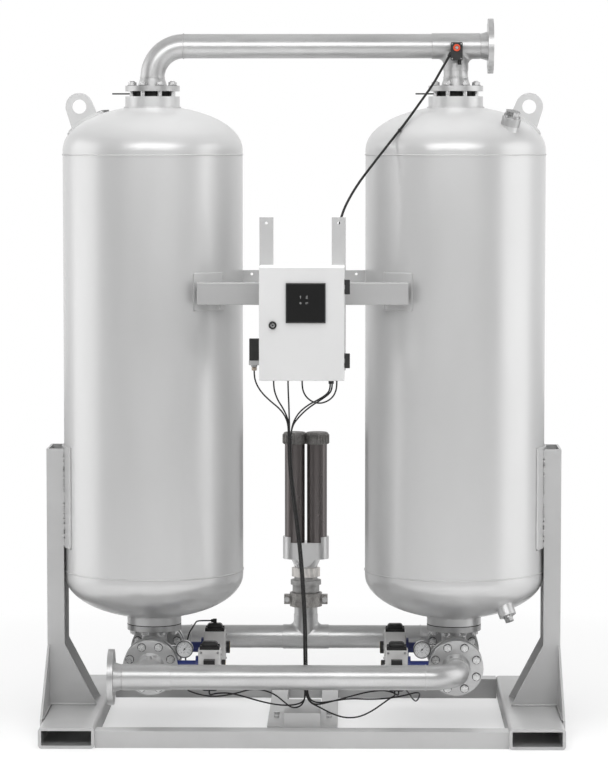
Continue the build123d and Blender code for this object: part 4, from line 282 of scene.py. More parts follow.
def window_glass():
    """Clear gauge glass with faint smears."""
    f = Finish("window_glass", specular=0.5)
    f.shader.inputs["Alpha"].default_value = 0.12
    f.colour(f.tint(f.noise(20.0, 3.0), (0.94, 0.96, 0.96), (1.0, 1.0, 1.0)))
    f.roughness(f.span(f.noise(90.0, 4.0), 0.01, 0.05))
    return f.material


def bead_bed():
    """Packed round desiccant beads, with painted shade in the gaps between them."""
    f = Finish("bead_bed")
    cells = f.cells(320.0)
    # Painted shade: each bead is light in its middle and darker towards its border, where the
    # gaps between beads lie in shade.
    f.colour(f.tint(cells, (0.86, 0.85, 0.8), (0.42, 0.41, 0.38), 0.25, 0.85))
    f.roughness(f.span(f.noise(200.0, 3.0), 0.55, 0.8))
    f.bump(cells, 1.0, 0.004)
    return f.material


def cable_sheath():
    """Black sheath with a slight gloss, rubbed and a little dusty."""
    f = Finish("cable_sheath")
    f.colour(f.tint(f.noise(40.0, 6.0), (0.004, 0.004, 0.004), (0.013, 0.012, 0.012), 0.35, 0.75))
    f.roughness(f.span(f.noise(120.0, 5.0), 0.36, 0.6))
    f.bump(f.noise(800.0, 2.0), 0.2, 0.0004)
    return f.material


TANK = silver_paint("tank_paint", 0.62, (1, 1, 0.3), 0.34, 0.45, 0.02)
FRAME = silver_paint("frame_paint", 0.52, (1, 1, 1), 0.44, 0.3, 0.05)
# Painted shade: the crossbeam gets a darker copy of the frame's silver paint, standing in for the
# shade it sits in.
SHADED_BEAM_PAINT = silver_paint("beam_paint_darkened_for_shade", 0.44, (0.3, 1, 1), 0.42, 0.35, 0.06)
PIPE = pipe_paint("pipe_paint", 0.62, 0.34, 0.13, (0.35, 1, 1))
FITTING = pipe_paint("fitting_paint", 0.5, 0.4, 0.18, (1, 1, 1))
ZINC = plated_steel("zinc_steel", 0.78, 0.0, 0.3)
STEEL = plated_steel("turned_steel", 0.5, 0.0, 0.26)
# Dark dull steel; on the flange washers its darkness is painted contact shadow round each nut.
DULL_STEEL_AND_SHADE = plated_steel("dull_steel_and_painted_shade", 0.2, 0.0, 0.36)
BRASS = plated_steel("nickel_brass", 0.5, 0.16, 0.3)
CABINET = powder_coat("cabinet_coat", grey(0.66), grey(0.7), 0.45, 0.0006)
TUBE = dark_tube()
CAST = casting("cast_aluminium", 0.36, 0.01, 0.5, 0.7, 0.001)
CAP_CAST = casting("cap_casting", 0.24, 0.03, 0.5, 0.6, 0.0014)
CUP = silver_paint("cup_metal", 0.62, (1, 1, 0.2), 0.3, 0.7, 0.03)
CLAMP = casting("clamp_iron", 0.4, 0.03, 0.5, 0.55, 0.0014)
NIPPLE = taped_iron()
BLUE = powder_coat("blue_epoxy", (0.006, 0.014, 0.11), (0.012, 0.03, 0.19), 0.36, 0.0008)
WHITE = moulding("white_body", grey(0.62, 0.01), grey(0.72, 0.01), 0.42, 0.0003)
BLACK = moulding("black_moulding", grey(0.008), grey(0.02), 0.5, 0.0004)
# Black rubber; on the lock it also serves as the painted shade of the keyhole.
BLACK_RUBBER_AND_SHADE = moulding("black_rubber_and_painted_shade", grey(0.005), grey(0.011), 0.75, 0.0005)
GLOSS = moulding("screen_black", grey(0.0015), grey(0.003), 0.09, 0.00002, coat=0.6)
GASKET = moulding("gasket_fibre", grey(0.004), grey(0.012), 0.8, 0.0008)
POINTER = moulding("pointer_black", grey(0.004), grey(0.01), 0.4, 0.0001)
DIAL = moulding("dial_white", grey(0.86), grey(0.9), 0.5, 0.0001)
LIGHT_GREY = moulding("light_grey_body", grey(0.36), grey(0.44), 0.5, 0.0003)
ORANGE = moulding("orange_ring", (0.55, 0.045, 0.01), (0.7, 0.08, 0.02), 0.4, 0.0002)
YELLOW = moulding("pointer_yellow", (0.6, 0.36, 0.02), (0.72, 0.45, 0.04), 0.45, 0.0002)
GLASS = window_glass()
BEADS = bead_bed()
SHEATH = cable_sheath()

FINISH_OF = {
    "silver_paint": FRAME,
    "zinc_steel": ZINC,
    "cabinet_paint": CABINET,
    "dark_tube": TUBE,
    "cast_aluminium": CAST,
    "clamp_iron": CLAMP,
    "blue_paint": BLUE,
    "disc_steel": STEEL,
    "white_plastic": WHITE,
    "black_plastic": BLACK,
    "gloss_black": GLOSS,
    "gasket_fibre": GASKET,
    "cable_black": SHEATH,
    "window_glass": GLASS,
    "needle_black": POINTER,
    "bead_bed": BEADS,
}
OWN_FINISH = {
    "vessel_left": TANK,
    "vessel_right": TANK,
    "vessel_plugs": STEEL,
    "outlet_manifold": PIPE,
    "inlet_manifold": PIPE,
    "exhaust_manifold": PIPE,
    "lower_tees": FITTING,
    "crossbeam": SHADED_BEAM_PAINT,
    "silencer_base": CUP,
    "silencer_nipple": NIPPLE,
    "silencer_cap": CAP_CAST,
    "check_valve_bodies": BLACK_RUBBER_AND_SHADE,
    "door_lock": BLACK,
}
for row in frame["record"]["subparts"]:
    name = row["node"]
    material = OWN_FINISH.get(name, FINISH_OF[row["material_slot"]])
    slots = NODES[name].data.materials
    slots.clear()
    slots.append(material)


# Shapes

BEAD_RIPPLE = 0.16
BEAD_DRIFT = 0.06
BEAD_DRIFT_STEP = 1.7
FIGURE_DEPTH = 0.0001


class Shape:
    """Points and faces gathered for one piece."""

    def __init__(self):
        self.points = []
        self.faces = []

    def add(self, points, faces):
        first = len(self.points)
        self.points += [Vector(p) for p in points]
        self.faces += [tuple(first + i for i in face) for face in faces]

    def loft(self, rings, closed):
        """Skins rings of points: closed joins the last to the first, else the ends are capped."""
        count = len(rings[0])
        points = [p for ring in rings for p in ring]
        faces = []
        for j in range(len(rings) if closed else len(rings) - 1):
            a = j * count
            b = (j + 1) % len(rings) * count
            for i in range(count):
                k = (i + 1) % count
                faces.append((a + i, a + k, b + k, b + i))
        if not closed:
            faces.append(tuple(reversed(range(count))))
            faces.append(tuple(range(len(points) - count, len(points))))
        self.add(points, faces)

    def turned(self, origin, axis, profile, steps=40):
        """A turned part: profile rows are (height along the axis, radius)."""
        turn = Vector(axis).to_track_quat("Z", "Y").to_matrix()
        origin = Vector(origin)
        rings = []
        for height, radius in profile:
            ring = [Vector((x, y, height)) for x, y in circle(radius, steps)]
            rings.append([origin + turn @ p for p in ring])
        self.loft(rings, False)

    def ring(self, origin, axis, section, steps=48):
        """A closed ring: section rows are (height along the axis, radius), going round it."""
        turn = Vector(axis).to_track_quat("Z", "Y").to_matrix()
        origin = Vector(origin)
        rings = []
        for i in range(steps):
            a = math.tau * i / steps
            row = [Vector((r * math.cos(a), r * math.sin(a), h)) for h, r in section]
            rings.append([origin + turn @ p for p in row])
        self.loft(rings, True)

    def block(self, low, high):
        x0, y0, z0 = low
        x1, y1, z1 = high
        base = [(x0, y0), (x1, y0), (x1, y1), (x0, y1)]
        self.loft([[Vector((x, y, z)) for x, y in base] for z in (z0, z1)], False)

    def plate(self, outline, centre, across, up, depth):
        """An outline of (across, up) pairs at centre, given a depth towards their normal."""
        across = Vector(across)
        up = Vector(up)
        normal = across.cross(up)
        face = [Vector(centre) + across * a + up * b for a, b in outline]
        self.loft([face, [p + normal * depth for p in face]], False)

    def bead(self, path, radius, closed=False, sides=8):
        """A weld bead along a path: its thickness ripples as a hand weld's does."""
        rings = []
        count = len(path)
        for i, p in enumerate(path):
            if closed:
                way = path[(i + 1) % count] - path[i - 1]
            else:
                way = path[min(i + 1, count - 1)] - path[max(i - 1, 0)]
            turn = way.to_track_quat("Z", "Y").to_matrix()
            ripple = BEAD_RIPPLE * math.cos(math.pi * i)
            drift = BEAD_DRIFT * math.sin(i * BEAD_DRIFT_STEP)
            size = radius * (1 + ripple + drift)
            rings.append([p + turn @ Vector((x, y, 0)) for x, y in circle(size, sides)])
        self.loft(rings, closed)

    def lettering(self, text, size, centre, across, up):
        """Flat raised figures, centred at a point."""
        curve = bpy.data.curves.new("figures", "FONT")
        curve.body = text
        curve.size = size
        curve.extrude = FIGURE_DEPTH
        curve.align_x = "CENTER"
        curve.align_y = "CENTER"
        holder = bpy.data.objects.new("figures", curve)
        mesh = holder.to_mesh()
        across = Vector(across)
        up = Vector(up)
        normal = across.cross(up)
        turn = Matrix((across, up, normal)).transposed()
        points = [Vector(centre) + turn @ v.co for v in mesh.vertices]
        self.add(points, [tuple(p.vertices) for p in mesh.polygons])
        holder.to_mesh_clear()
        bpy.data.objects.remove(holder)
        bpy.data.curves.remove(curve)

    def piece(self, name, material, slot, body="machine", smooth=False, bevel=0.0):
        """Makes the object, gives it its finish and lets it ride on a body."""
        mesh = bpy.data.meshes.new(name)
        mesh.from_pydata(self.points, [], self.faces)
        mesh.polygons.foreach_set("use_smooth", [smooth] * len(mesh.polygons))
        mesh.materials.append(material)
        obj = bpy.data.objects.new(name, mesh)
        bpy.context.scene.collection.objects.link(obj)
        if bevel:
            modifier = obj.modifiers.new("edges", "BEVEL")
            modifier.width = bevel
            modifier.segments = 2
            modifier.limit_method = "ANGLE"
        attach(obj, body)


def circle(radius, count):
    """An outline of (across, up) pairs."""
    angles = [math.tau * i / count for i in range(count)]
    return [(radius * math.cos(a), radius * math.sin(a)) for a in angles]


def along(a, b, pitch):
    """Points from a to b about a pitch apart."""
    a = Vector(a)
    b = Vector(b)
    count = max(2, round((b - a).length / pitch))
    return [a.lerp(b, i / count) for i in range(count + 1)]


# Cords

CORD_ORDER = 3
CORD_STEPS = 12
CORD_ROUNDNESS = 4
LEAD_DIAMETER = 0.0056
SENSOR_CABLE_DIAMETER = 0.009
BUNDLE_RADIUS = 0.0053
BUNDLE = [
    (-0.043, -0.448, 1.136),
    (-0.045, -0.447, 1.064),
    (-0.042, -0.444, 0.99),
    (-0.034, -0.439, 0.915),
    (-0.025, -0.433, 0.84),
    (-0.015, -0.426, 0.765),
    (-0.007, -0.42, 0.69),
    (-0.001, -0.413, 0.615),
    (0.004, -0.405, 0.54),
    (0.008, -0.398, 0.465),
    (0.0105, -0.392, 0.39),
    (0.011, -0.386, 0.315),
    (0.012, -0.383, 0.25),
    (0.0135, -0.381, 0.205),
    (0.014, -0.378, 0.17),
]
LEFT_REAR = (
    [
        (-0.17, -0.45, 1.337),
        (-0.17, -0.45, 1.318),
        (-0.164, -0.451, 1.292),
        (-0.146, -0.452, 1.261),
        (-0.115, -0.453, 1.23),
        (-0.08, -0.453, 1.202),
        (-0.058, -0.452, 1.172),
    ],
    [
        (0.007, -0.379, 0.138),
        (-0.013, -0.38, 0.117),
        (-0.041, -0.379, 0.116),
        (-0.066, -0.378, 0.137),
        (-0.108, -0.377, 0.171),
        (-0.176, -0.376, 0.186),
        (-0.24, -0.374, 0.166),
        (-0.31, -0.37, 0.153),
        (-0.365, -0.352, 0.156),
        (-0.402, -0.31, 0.16),
        (-0.42, -0.25, 0.156),
        (-0.426, -0.18, 0.16),
        (-0.432, -0.112, 0.182),
        (-0.438, -0.045, 0.225),
        (-0.438, 0.018, 0.276),
        (-0.432, 0.07, 0.314),
        (-0.416, 0.112, 0.336),
        (-0.409, 0.156, 0.344),
        (-0.405, 0.199, 0.343),
        (-0.381, 0.2195, 0.341),
        (-0.354, 0.22, 0.341),
    ],
)
LEFT_FRONT = (
    [
        (-0.101, -0.45, 1.3),
        (-0.101, -0.45, 1.285),
        (-0.098, -0.449, 1.262),
        (-0.087, -0.448, 1.232),
        (-0.07, -0.447, 1.206),
        (-0.054, -0.445, 1.174),
    ],
    [
        (0.006, -0.364, 0.138),
        (-0.02, -0.358, 0.123),
        (-0.072, -0.358, 0.12),
        (-0.136, -0.36, 0.131),
        (-0.2, -0.362, 0.15),
        (-0.258, -0.358, 0.165),
        (-0.306, -0.34, 0.162),
        (-0.334, -0.314, 0.15),
        (-0.34, -0.288, 0.151),
        (-0.34, -0.269, 0.17),
        (-0.34, -0.269, 0.196),
    ],
)
RIGHT_SWITCH = (
    [
        (-0.05, -0.45, 1.3),
        (-0.05, -0.45, 1.285),
        (-0.049, -0.452, 1.256),
        (-0.047, -0.455, 1.216),
        (-0.046, -0.456, 1.176),
    ],
    [
        (0.024, -0.394, 0.139),
        (0.062, -0.402, 0.122),
        (0.104, -0.406, 0.1),
        (0.152, -0.406, 0.084),
        (0.204, -0.402, 0.086),
        (0.252, -0.394, 0.108),
        (0.29, -0.374, 0.132),
        (0.318, -0.34, 0.146),
        (0.331, -0.314, 0.148),
        (0.333, -0.288, 0.151),
        (0.333, -0.269, 0.17),
        (0.333, -0.269, 0.196),
    ],
)
RIGHT_FRONT = (
    [
        (0.0995, -0.452, 1.29),
        (0.0995, -0.452, 1.273),
        (0.09, -0.454, 1.255),
        (0.062, -0.456, 1.236),
        (0.02, -0.458, 1.215),
        (-0.016, -0.457, 1.184),
    ],
    [
        (0.025, -0.385, 0.14),
        (0.05, -0.389, 0.127),
        (0.104, -0.387, 0.14),
        (0.172, -0.382, 0.158),
        (0.232, -0.376, 0.173),
        (0.288, -0.362, 0.178),
        (0.326, -0.34, 0.166),
        (0.343, -0.314, 0.15),
        (0.347, -0.288, 0.151),
        (0.347, -0.269, 0.17),
        (0.347, -0.269, 0.196),
    ],
)
RIGHT_REAR = (
    [
        (0.1065, -0.448, 1.29),
        (0.1065, -0.448, 1.273),
        (0.097, -0.446, 1.254),
        (0.068, -0.443, 1.233),
        (0.028, -0.441, 1.208),
        (-0.008, -0.441, 1.176),
    ],
    [
        (0.028, -0.368, 0.141),
        (0.058, -0.364, 0.13),
        (0.11, -0.362, 0.138),
        (0.172, -0.362, 0.147),
        (0.236, -0.362, 0.144),
        (0.3, -0.36, 0.146),
        (0.358, -0.35, 0.154),
        (0.402, -0.316, 0.16),
        (0.424, -0.262, 0.152),
        (0.424, -0.196, 0.126),
        (0.418, -0.128, 0.1),
        (0.412, -0.058, 0.084),
        (0.404, 0.014, 0.08),
        (0.394, 0.086, 0.084),
        (0.38, 0.152, 0.092),
        (0.366, 0.212, 0.097),
        (0.352, 0.252, 0.094),
        (0.343, 0.276, 0.118),
        (0.34, 0.269, 0.158),
        (0.34, 0.269, 0.196),
    ],
)
LOOP = [
    (0, -0.45, 1.3),
    (0, -0.45, 1.284),
    (0.004, -0.456, 1.262),
    (0.016, -0.464, 1.242),
    (0.038, -0.467, 1.226),
    (0.064, -0.467, 1.221),
    (0.09, -0.467, 1.229),
    (0.11, -0.463, 1.245),
    (0.12, -0.456, 1.265),
    (0.123, -0.45, 1.284),
    (0.123, -0.45, 1.3),
]
SENSOR = [
    (0.528, -0.078, 2.454),
    (0.502, -0.088, 2.41),
    (0.468, -0.114, 2.35),
    (0.424, -0.152, 2.29),
    (0.372, -0.204, 2.218),
    (0.322, -0.244, 2.156),
    (0.262, -0.268, 2.08),
    (0.188, -0.3, 1.984),
    (0.137, -0.322, 1.888),
    (0.126, -0.318, 1.8),
    (0.128, -0.302, 1.716),
    (0.124, -0.288, 1.64),
    (0.116, -0.274, 1.566),
    (0.09, -0.254, 1.492),
    (0.076, -0.249, 1.433),
    (0.074, -0.282, 1.4),
    (0.074, -0.326, 1.4),
]


def bundled(place, head, tail):
    """A lead's route: its head, its own place in the bundle, and its tail."""
    dx = BUNDLE_RADIUS * math.cos(math.radians(place))
    dy = BUNDLE_RADIUS * math.sin(math.radians(place))
    return head + [(x + dx, y + dy, z) for x, y, z in BUNDLE] + tail


def cord(node, route, diameter):
    """One smooth lead through its route, shown in place of the solid one."""
    curve = bpy.data.curves.new(node + "_line", "CURVE")
    curve.dimensions = "3D"
    spline = curve.splines.new("NURBS")
    spline.points.add(len(route) - 1)
    for point, place in zip(spline.points, route):
        point.co = (*place, 1.0)
    spline.order_u = CORD_ORDER
    spline.use_endpoint_u = True
    spline.resolution_u = CORD_STEPS
    curve.bevel_depth = diameter / 2
    curve.bevel_resolution = CORD_ROUNDNESS
    curve.use_fill_caps = True
    curve.materials.append(SHEATH)
    obj = bpy.data.objects.new(node + "_cord", curve)
    bpy.context.scene.collection.objects.link(obj)
    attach(obj, "machine")
    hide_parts(node)


cord("lead_left_rear", bundled(180, *LEFT_REAR), LEAD_DIAMETER)
cord("lead_left_front", bundled(108, *LEFT_FRONT), LEAD_DIAMETER)
cord("lead_right_switch", bundled(252, *RIGHT_SWITCH), LEAD_DIAMETER)
cord("lead_right_front", bundled(324, *RIGHT_FRONT), LEAD_DIAMETER)
cord("lead_right_rear", bundled(36, *RIGHT_REAR), LEAD_DIAMETER)
cord("lead_loop", LOOP, LEAD_DIAMETER)
cord("sensor_cable", SENSOR, SENSOR_CABLE_DIAMETER)


# Weld beads

BEAD_PITCH = 0.004
BEAD_TURN = 0.7
SEAM_HEIGHTS = (0.568, 2.098)
SEAM_RADIUS = 0.3302
SEAM_PITCH = 0.0042
SEAM_BEAD = 0.0022
NOZZLE_HALF = 0.1
NOZZLE_SEAM_RADIUS = 0.1015
NOZZLE_BEAD = 0.0036
PAD_FACE_RADIUS = 0.332
PAD_SEAM_RADIUS = 0.3325
PAD_BEAD = 0.0034
POST_PAD_HALF = 0.150
POST_PAD_HEIGHTS = (0.660, 1.029)
SEAT_EDGES = (-0.165, -0.263)
SEAT_HEIGHTS = (1.542, 1.673)
LUG_PAD_START = 0.739
LUG_PAD_END = 0.8602
LUG_PAD_HALF = 0.0555
LUG_PAD_LIFT = 0.001
FOOT_PITCH = 0.0045
FOOT_BEADS = (
    ((0.768, 0.1035, 0.0785), (0.930, 0.1035, 0.0785), 0.0042),
    ((0.879, 0.0995, 0.664), (0.879, 0.0995, 1.020), 0.0036),
    ((0.9335, 0.112, 0.0765), (0.9335, 0.398, 0.0765), 0.0032),
)
PIPE_SEAM_RADIUS = 0.0448
PIPE_SEAM_STEPS = 66
PIPE_BEAD = 0.0021
INLET_FLANGE_WELD = -0.641
INLET_TEE_WELD = -0.591
OUTLET_TEE_WELD = 0.469
FLARE_STEPS = 56
FLARE_REACH = 0.02
FLARE_LEAST = 0.0006
FLARE_WALL = 0.006
FLARE_SKIN = 0.0012
SADDLE_SKIN = 0.0022


def head_z(dx, dy, side):
    """The height of a tower's head at an offset from its axis: side 1 is the upper head."""
    drop = HEAD_RISE * math.sqrt(max(0.0, 1 - (dx * dx + dy * dy) / SHELL_RADIUS**2))
    return RIM_HIGH + drop if side > 0 else RIM_LOW - drop


def hoop(centre_x, centre_y, z, radius, pitch):
    """Points round an upright axis, an even number of them."""
    count = 2 * round(math.tau * radius / pitch / 2)
    return [Vector((centre_x + x, centre_y + y, z)) for x, y in circle(radius, count)]


def shell_patch(side, front, a0, a1, z0, z1, radius):
    """The outline of a pad on a shell, between two angles from the outward X direction."""
    def at(angle, z):
        a = math.radians(angle)
        return Vector((side * (TOWER_X + radius * math.cos(a)), front * radius * math.sin(a), z))

    path = along(at(a0, z0), at(a0, z1), BEAD_PITCH)
    steps = max(2, round(abs(a1 - a0) / BEAD_TURN))
    path += [at(a0 + (a1 - a0) * i / steps, z1) for i in range(1, steps)]
    path += along(at(a1, z1), at(a1, z0), BEAD_PITCH)
    path += [at(a1 + (a0 - a1) * i / steps, z0) for i in range(1, steps)]
    return path


def mirrored(point, side, front):
    """A point given for the right rear quarter, moved to another one."""
    x, y, z = point
    return (side * x, front * y, z)


def lug_pad_path(side):
    """Points round a lifting lug's pad, on the upper head."""
    x0 = LUG_PAD_START
    x1 = LUG_PAD_END
    half = LUG_PAD_HALF
    corners = [(x0, -half), (x1, -half), (x1, half), (x0, half), (x0, -half)]
    path = []
    for (ax, ay), (bx, by) in zip(corners, corners[1:]):
        for p in along((ax, ay, 0), (bx, by, 0), BEAD_PITCH)[:-1]:
            z = head_z(p.x - TOWER_X, p.y, 1) + LUG_PAD_LIFT
            path.append(Vector((side * p.x, p.y, z)))
    return path


pad_angle = math.degrees(math.asin(POST_PAD_HALF / PAD_FACE_RADIUS))
seat_angles = [math.degrees(math.acos(edge / PAD_FACE_RADIUS)) for edge in SEAT_EDGES]
for side, word in SIDE_WORDS:
    seams = Shape()
    for z in SEAM_HEIGHTS:
        seams.bead(hoop(side * TOWER_X, 0, z, SEAM_RADIUS, SEAM_PITCH), SEAM_BEAD, closed=True)
    for level in SIDES:
        z = head_z(NOZZLE_HALF, 0, level)
        rim = hoop(side * TOWER_X, 0, z, NOZZLE_SEAM_RADIUS, BEAD_PITCH)
        seams.bead(rim, NOZZLE_BEAD, closed=True)
    pad = shell_patch(side, 1, -pad_angle, pad_angle, *POST_PAD_HEIGHTS, PAD_SEAM_RADIUS)
    seams.bead(pad, PAD_BEAD, closed=True)
    seat = shell_patch(side, -1, *seat_angles, *SEAT_HEIGHTS, PAD_SEAM_RADIUS)
    seams.bead(seat, PAD_BEAD, closed=True)
    seams.bead(lug_pad_path(side), PAD_BEAD, closed=True)
    seams.piece(f"tower_welds_{word}", TANK, "silver_paint", smooth=True)

    feet = Shape()
    for front in SIDES:
        for start, end, radius in FOOT_BEADS:
            start = mirrored(start, side, front)
            end = mirrored(end, side, front)
            feet.bead(along(start, end, FOOT_PITCH), radius)
    feet.piece(f"post_foot_welds_{word}", FRAME, "silver_paint", smooth=True)


def pipe_weld(shape, centre):
    """A bead round a pipe that runs along X, at a butt joint."""
    turn = Vector(X_WAY).to_track_quat("Z", "Y").to_matrix()
    spokes = [Vector((x, y, 0)) for x, y in circle(PIPE_SEAM_RADIUS, PIPE_SEAM_STEPS)]
    shape.bead([Vector(centre) + turn @ spoke for spoke in spokes], PIPE_BEAD, closed=True)


elbow_end = TOWER_X - ELBOW_RADIUS
pipe_welds = Shape()
for ends, y, z in (
    ((-elbow_end, OUTLET_TEE_WELD), 0, OUTLET_Z),
    ((INLET_FLANGE_WELD, INLET_TEE_WELD), INLET_Y, PIPE_Z),
    ((-elbow_end, elbow_end), EXHAUST_Y, PIPE_Z),
):
    for x in ends:
        pipe_weld(pipe_welds, (x, y, z))
pipe_welds.piece("pipe_welds", PIPE, "silver_paint", smooth=True)


def tee_flare(shape, centre, run, branch):
    """The rounded throat of a forged tee, between its run and its branch."""
    centre = Vector(centre)
    run = Vector(run)
    branch = Vector(branch)
    across = run.cross(branch)
    rows = [(k * math.pi / 16, 0.0, 0.0) for k in range(9)]
    rows += [
        (math.pi / 2, FLARE_WALL, 0.0),
        (math.pi / 2, FLARE_WALL, -FLARE_WALL),
        (0.0, 0.0, -FLARE_WALL),
    ]
    rings = []
    for turn, inward, lift in rows:
        ring = []
        for i in range(FLARE_STEPS):
            a = math.tau * i / FLARE_STEPS
            size = FLARE_REACH * math.cos(a) ** 2 + FLARE_LEAST
            out = PIPE_RADIUS + FLARE_SKIN + size * (1 - math.sin(turn)) - inward
            wide = out * math.sin(a)
            saddle = math.sqrt(max(0.0, (PIPE_RADIUS + SADDLE_SKIN) ** 2 - wide**2))
            height = saddle + size * (1 - math.cos(turn)) + lift
            ring.append(centre + run * (out * math.cos(a)) + across * wide + branch * height)
        rings.append(ring)
    shape.loft(rings, True)


flares = Shape()
tee_flare(flares, (0, EXHAUST_Y, PIPE_Z), X_WAY, Z_WAY)
tee_flare(flares, (-TOWER_X, INLET_Y, PIPE_Z), X_WAY, (0, 1, 0))
tee_flare(flares, (TOWER_X, 0, OUTLET_Z), X_WAY, (0, 0, -1))
flares.piece("tee_flares", PIPE, "silver_paint", smooth=True)

throats = Shape()
for side in SIDES:
    tee_flare(throats, (side * TOWER_X, 0, PIPE_Z), (0, 1, 0), Z_WAY)
throats.piece("lower_tee_throats", FITTING, "silver_paint", smooth=True)


# Bolted joints

WASHER = [(0, 0.0125), (0, 0.0158), (0.0016, 0.0158), (0.0022, 0.0152), (0.0022, 0.0125)]
WASHER_STEPS = 28
STUDS = 8
FIRST_STUD = 22.5
STUD_STEP = 45
STUD_CIRCLE = 0.080
FAR_WASHER_Y = 0.263
NEAR_WASHER_Y = 0.177
UPPER_WASHER_Z = 2.349
LOWER_WASHER_Z = 0.344

# The washers are drawn in dark dull steel so each nut shows a dark ring: painted contact shadow.
washers = Shape()
for side in SIDES:
    for i in range(STUDS):
        a = math.radians(FIRST_STUD + STUD_STEP * i)
        x = side * TOWER_X + STUD_CIRCLE * math.cos(a)
        rise = STUD_CIRCLE * math.sin(a)
        places = []
        for front in SIDES:
            places.append(((x, front * FAR_WASHER_Y, PIPE_Z + rise), (0, front, 0)))
            places.append(((x, front * NEAR_WASHER_Y, PIPE_Z + rise), (0, -front, 0)))
        places.append(((x, rise, UPPER_WASHER_Z), Z_WAY))
        places.append(((x, rise, LOWER_WASHER_Z), (0, 0, -1)))
        for centre, axis in places:
            washers.ring(centre, axis, WASHER, WASHER_STEPS)
washers.piece("flange_washers_painted_shadow", DULL_STEEL_AND_SHADE, "zinc_steel")


# Gauges

GAUGE_X = 0.433
GAUGE_Z = 0.300
GAUGE_STEPS = 64
DIAL_Y = -0.2051
DIAL_RADIUS = 0.0283
DIAL_DEPTH = 0.0004
PRINT_DEPTH = 0.0001
SCALE_STEPS = 40
SCALE_START = 225
SCALE_SWEEP = 270
SCALE_RADIUS = 0.026
STEPS_PER_FIGURE = 5
LONG_MARK = (0.0215, 0.00045)
SHORT_MARK = (0.0235, 0.0002)
FIGURE_RADIUS = 0.0172
FIGURE_SIZE = 0.0058
UNIT_SIZE = 0.0052
UNIT_DROP = 0.011
BEZEL_Y = -0.2138
BEZEL = [
    (0.0, 0.0285),
    (0.0022, 0.0288),
    (0.0028, 0.0302),
    (0.0018, 0.0318),
    (-0.004, 0.0322),
    (-0.004, 0.0314),
]

for side, word in SIDE_WORDS:
    centre = Vector((side * GAUGE_X, DIAL_Y, GAUGE_Z))
    face = Shape()
    face.plate(circle(DIAL_RADIUS, GAUGE_STEPS), centre, X_WAY, Z_WAY, DIAL_DEPTH)
    face.piece(f"gauge_dial_{word}", DIAL, "white_plastic")

    marks = Shape()
    base = centre - Vector((0, DIAL_DEPTH, 0))
    ink = Vector((0, PRINT_DEPTH, 0))
    for i in range(SCALE_STEPS + 1):
        angle = math.radians(SCALE_START - SCALE_SWEEP * i / SCALE_STEPS)
        main = i % STEPS_PER_FIGURE == 0
        inner, half = LONG_MARK if main else SHORT_MARK
        radial = Vector((math.cos(angle), 0, math.sin(angle)))
        side_way = Vector((-math.sin(angle), 0, math.cos(angle))) * half
        start = base + radial * inner
        end = base + radial * SCALE_RADIUS
        quad = [start - side_way, start + side_way, end + side_way, end - side_way]
        marks.loft([quad, [p - ink for p in quad]], False)
        if main:
            spot = base + radial * FIGURE_RADIUS - ink
            marks.lettering(str(i // STEPS_PER_FIGURE * 2), FIGURE_SIZE, spot, X_WAY, Z_WAY)
    spot = base - ink - Vector((0, 0, UNIT_DROP))
    marks.lettering("bar", UNIT_SIZE, spot, X_WAY, Z_WAY)
    marks.piece(f"gauge_scale_{word}", POINTER, "needle_black")

    bezel = Shape()
    bezel.ring((side * GAUGE_X, BEZEL_Y, GAUGE_Z), FRONT_WAY, BEZEL, GAUGE_STEPS)
    bezel.piece(f"gauge_bezel_{word}", DULL_STEEL_AND_SHADE, "disc_steel", smooth=True)


# Cabinet

CONTROLLER_X = 0.014
CONTROLLER_Z = 1.582
SCREEN_Y = -0.561
RIM_OUTER = 0.070
RIM_INNER = 0.0655
RIM_DEPTH = 0.0012
PANE_HALF = 0.0648
PANE_CORNER = 0.004
PANE_DEPTH = 0.0006
ICON_DEPTH = 0.0002
ICONS = (
    ((-0.018, 0.021), [(-0.0008, -0.005, 0.0008, 0.005), (-0.003, 0.002, 0.003, 0.0032)]),
    (
        (0.004, 0.021),
        [
            (-0.004, -0.005, 0.004, -0.0038),
            (-0.0025, -0.003, -0.0012, 0.004),
            (0.0012, -0.003, 0.0025, 0.0055),
        ],
    ),
    ((-0.018, 0.0), [(-0.004, -0.001, 0.004, 0.001), (-0.001, -0.004, 0.001, 0.004)]),
    ((0.004, 0.0), [(-0.0045, 0.001, 0.0045, 0.0022), (-0.0045, -0.003, 0.0015, -0.0018)]),
)

rim = Shape()
for low, high in (
    ((-RIM_OUTER, -RIM_OUTER), (RIM_OUTER, -RIM_INNER)),
    ((-RIM_OUTER, RIM_INNER), (RIM_OUTER, RIM_OUTER)),
    ((-RIM_OUTER, -RIM_INNER), (-RIM_INNER, RIM_INNER)),
    ((RIM_INNER, -RIM_INNER), (RIM_OUTER, RIM_INNER)),
):
    rim.block(
        (CONTROLLER_X + low[0], SCREEN_Y - RIM_DEPTH, CONTROLLER_Z + low[1]),
        (CONTROLLER_X + high[0], SCREEN_Y, CONTROLLER_Z + high[1]),
    )
rim.piece("screen_rim", BLACK, "black_plastic", body="door", bevel=0.0005)

pane = []
reach = PANE_HALF - PANE_CORNER
for cx, cz, start in ((1, 1, 0), (-1, 1, 90), (-1, -1, 180), (1, -1, 270)):
    for k in range(5):
        a = math.radians(start + 22.5 * k)
        across = cx * reach + PANE_CORNER * math.cos(a)
        up = cz * reach + PANE_CORNER * math.sin(a)
        pane.append((across, up))
glass = Shape()
glass.plate(pane, (CONTROLLER_X, SCREEN_Y, CONTROLLER_Z), X_WAY, Z_WAY, PANE_DEPTH)
glass.piece("screen_pane", GLOSS, "gloss_black", body="door")

